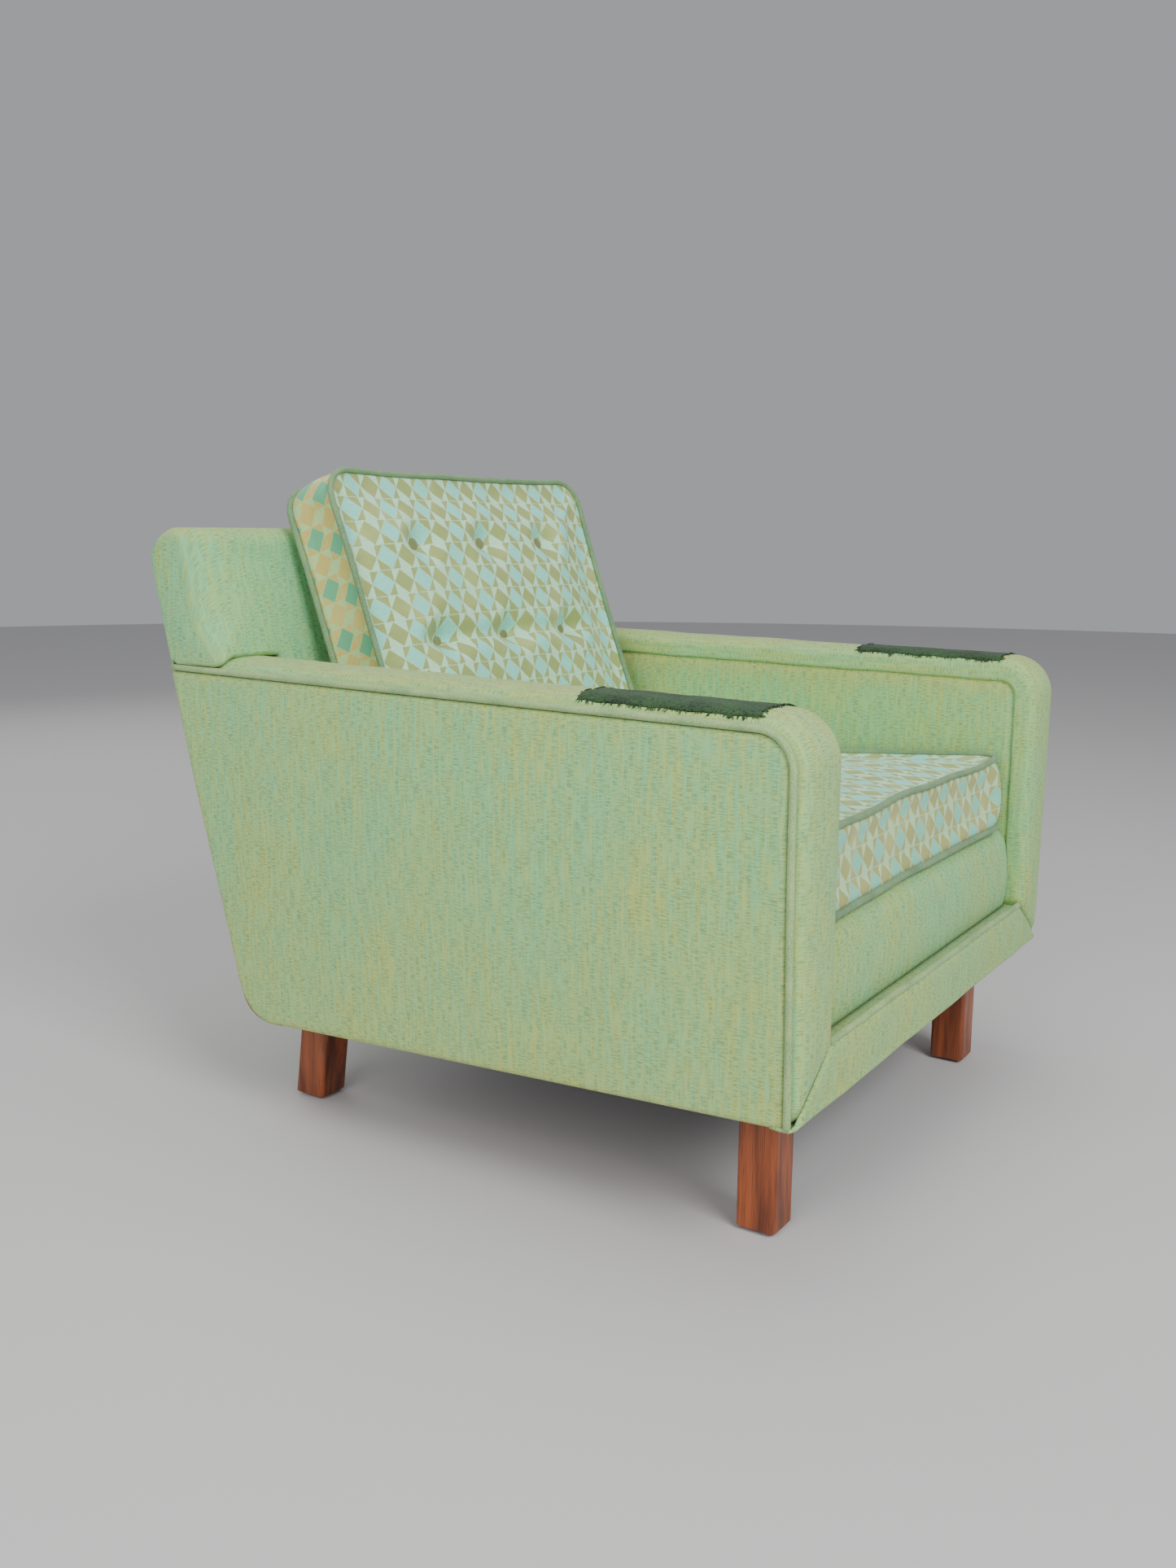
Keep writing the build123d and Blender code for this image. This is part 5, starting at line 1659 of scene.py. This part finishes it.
@dataclass
class BackCushion(Cushion):
    """Loose back cushion with six buttons."""

    button_radius: float = 0.0115
    small_radius: float = 0.0075

    def cover_nodes(self) -> Sequence[str]:
        """Parts that the cover stands for."""
        return ("rear", "boxing", "core", "front")

    def button(self, radius: float, height: float) -> tuple[Array, Faces]:
        """A covered button: domed, with a rounded rim and a flat back.

        Args:
            radius: Button's radius.
            height: Dome's height.

        Returns:
            Vertices in the button's own place, and faces.
        """
        profile = [(radius * math.cos(a), height * math.sin(a)) for a in np.linspace(0, math.pi / 2, 8)[:-1]]
        profile = [(radius * 0.55, -0.0035), (radius * 0.9, -0.003), (radius * 1.0, -0.0012)] + profile
        around = 20
        points = []
        for r, h in profile:
            turns = np.arange(around) * 2 * math.pi / around
            points += [(r * math.cos(t), r * math.sin(t), h) for t in turns]
        faces = grid_faces(len(profile), around, loop_rows=True)
        points.append((0.0, 0.0, height))
        last = (len(profile) - 1) * around
        faces += [(last + j, last + (j + 1) % around, len(points) - 1) for j in range(around)]
        faces.append(tuple(range(around))[::-1])
        return np.array(points), faces

    def build_extras(self, basis: Array, centre: Array, width: float, length: float, deep: float) -> None:
        """Buttons in the tufts, small ones behind, and the twine between them."""
        points, faces, start, twines = [], [], 0, []
        for bx, by in self.tufts:
            nearest = int(np.argmin(np.hypot(self.flat_places[:, 0] - bx, self.flat_places[:, 1] - by)))
            front, rear = self.surface[nearest], self.rear_surface[nearest]
            front_button = (front, 1, self.button_radius, 0.0055)
            rear_button = (rear, -1, self.small_radius, 0.0035)
            for place, sign, radius, height in (front_button, rear_button):
                shape, its_faces = self.button(radius, height)
                shape = shape * np.array([1, sign, sign]) + place + np.array([0, 0, sign * 0.0022])
                points.append(shape @ basis + centre)
                faces += [tuple(v + start for v in face) for face in its_faces]
                start += len(shape)
            line = rear + (front - rear) * np.linspace(0.02, 0.98, 6)[:, None]
            twines.append(line @ basis + centre)
        joined = np.concatenate(points)
        uvs = [(joined[v][0], joined[v][2]) for face in faces for v in face]
        piece = face_out(make_object("covered_buttons", joined, faces, uvs))
        self.wardrobe.place(piece, button_cloth, self.body, "back_cushion_buttons")
        twine = tubes_piece("button_twine", twines, BUTTON_TWINE, False, around=6)
        self.wardrobe.place(twine, twine_yarn, self.body, "button_twines")


# ---------------------------------------------------------------- frame parts that stay as they are
NODE_FINISHES: dict[str, Finish] = {
    "leg_front": teak,
    "leg_rear": teak,
    "leg_glides": nylon,
    "leg_bolts": steel,
    "corner_blocks": beech,
    "front_post": beech,
    "rear_post": beech,
    "front_rail": beech,
    "rear_rail": beech,
    "side_rail": beech,
    "arm_rail": beech,
    "back_top_rail": beech,
    "back_lower_rail": beech,
    "side_board": board,
    "seat_springs": steel,
    "spring_clips": nylon,
    "back_webbing": jute,
    "dust_cover": dust_cloth,
    "dust_cover_tacks": steel,
}


def dress_frame(wardrobe: Wardrobe) -> None:
    """Give each CAD node that still shows its finish."""
    for name, node in frame["nodes"].items():
        if node.hide_render:
            continue
        keys = [key for key in NODE_FINISHES if name.startswith(key)]
        finish = NODE_FINISHES[max(keys, key=len)]
        count = max(1, len(node.material_slots))
        if not node.material_slots:
            node.data.materials.append(wardrobe.material(finish))
        for index in range(count):
            node.material_slots[index].material = wardrobe.material(finish)
        log.info("%s keeps its CAD shape, in %s", name, finish.name)


# ---------------------------------------------------------------- floor, light and camera
@dataclass(frozen=True)
class Studio:
    """Pale floor, soft lights and the camera."""

    eye: tuple[float, float, float] = (-1.4284, -0.8807, 0.667)
    yaw: float = math.radians(56.7)
    pitch: float = math.radians(-10.22)
    tilt: float = math.radians(0.36)
    lens: float = 32.03

    def build_floor(self) -> None:
        """A wide pale floor."""
        bpy.ops.object.select_all(action="DESELECT")
        bpy.ops.mesh.primitive_circle_add(vertices=96, radius=9.0, fill_type="NGON", location=(0, 0, -0.0005))
        floor = bpy.context.object
        floor.name = "studio_floor"
        material = bpy.data.materials.new("pale_floor")
        material.use_nodes = True
        shader = material.node_tree.nodes["Principled BSDF"]
        shader.inputs["Base Color"].default_value = srgb(202, 200, 200)
        shader.inputs["Roughness"].default_value = 0.8
        floor.data.materials.append(material)

    def build_lights(self) -> None:
        """A large soft key from the upper left front, a fill at the left, a top light and a pale surround."""
        target = Vector((0.0, 0.0, 0.4))
        lamps = {
            "key": ((-1.5, -3.0, 2.7), 1.7, 120.0),
            "fill": ((-3.4, -0.5, 1.9), 2.2, 62.0),
            "top": ((0.2, 0.2, 3.2), 2.2, 24.0),
            "rear": ((1.2, 3.2, 2.2), 2.4, 22.0),
        }
        for name, (place, size, power) in lamps.items():
            light = bpy.data.lights.new(name, "AREA")
            light.size = size
            light.energy = power
            lamp = bpy.data.objects.new(name, light)
            lamp.location = place
            lamp.rotation_mode = "QUATERNION"
            lamp.rotation_quaternion = (target - Vector(place)).to_track_quat("-Z", "Y")
            bpy.context.scene.collection.objects.link(lamp)
        world = bpy.data.worlds.new("pale_room")
        world.use_nodes = True
        background = world.node_tree.nodes["Background"]
        background.inputs["Color"].default_value = srgb(214, 216, 220)
        background.inputs["Strength"].default_value = 0.55
        bpy.context.scene.world = world

    def build_camera(self) -> None:
        """The camera, at the chair's left front and a little above its back."""
        level = math.cos(self.pitch)
        ahead = Vector((math.sin(self.yaw) * level, math.cos(self.yaw) * level, math.sin(self.pitch)))
        right = Vector((math.cos(self.yaw), -math.sin(self.yaw), 0.0))
        up = right.cross(ahead)
        turned_right = math.cos(self.tilt) * right + math.sin(self.tilt) * up
        turned_up = math.cos(self.tilt) * up - math.sin(self.tilt) * right
        lens = bpy.data.cameras.new("camera")
        lens.lens = self.lens
        lens.sensor_width = 36.0
        camera = bpy.data.objects.new("camera", lens)
        turn = Matrix((turned_right, turned_up, -ahead)).transposed().to_4x4()
        camera.matrix_world = Matrix.Translation(self.eye) @ turn
        bpy.context.scene.collection.objects.link(camera)
        bpy.context.scene.camera = camera

    def build(self) -> None:
        """Build the studio."""
        self.build_floor()
        self.build_lights()
        self.build_camera()


def button_places() -> tuple[tuple[float, float], ...]:
    """Places of the six buttons on the back cushion, from its middle.

    Returns:
        Distance across and along the cushion, for each button.
    """
    low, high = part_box("button_twines")
    box_low, box_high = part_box("back_cushion_boxing")
    axis = next(j for j in frame["joints"] if j["name"] == "back_cushion_lift")["axis"]
    along = Vector(axis)
    offset = ((low + high) / 2 - (box_low + box_high) / 2).dot(along)
    across = (high.x - low.x) / 2 - BUTTON_TWINE
    span = (high.z - low.z - 0.110 * abs(axis[1])) / abs(axis[2]) / 2
    return tuple((x, offset + y) for y in (-span, span) for x in (-across, 0.0, across))


def main() -> None:
    """Build the chair's looks."""
    logging.basicConfig(level=logging.INFO, format="%(name)s: %(message)s")
    lines = ChairLines()
    wardrobe = Wardrobe()
    for side in Side:
        ArmSet(lines, wardrobe, side).build()
    FrontSet(lines, wardrobe).build()
    BackSet(lines, wardrobe).build()
    SeatCushion(
        lines,
        wardrobe,
        "seat_cushion",
        Body.SEAT,
        "seat_cushion_pull",
        up_is_axis=False,
        crown_front=0.028,
        crown_rear=0.0,
        boxing_bulge=0.011,
        pull_in=0.006,
        boxing_finish=seat_boxing_cloth,
    ).build()
    BackCushion(
        lines,
        wardrobe,
        "back_cushion",
        Body.BACK,
        "back_cushion_lift",
        up_is_axis=True,
        crown_front=0.028,
        crown_rear=0.013,
        boxing_bulge=0.006,
        pull_in=0.006,
        cell=0.008,
        tufts=button_places(),
    ).build()
    dress_frame(wardrobe)
    Studio().build()
    bpy.context.view_layer.update()


if __name__ == "__main__":
    main()
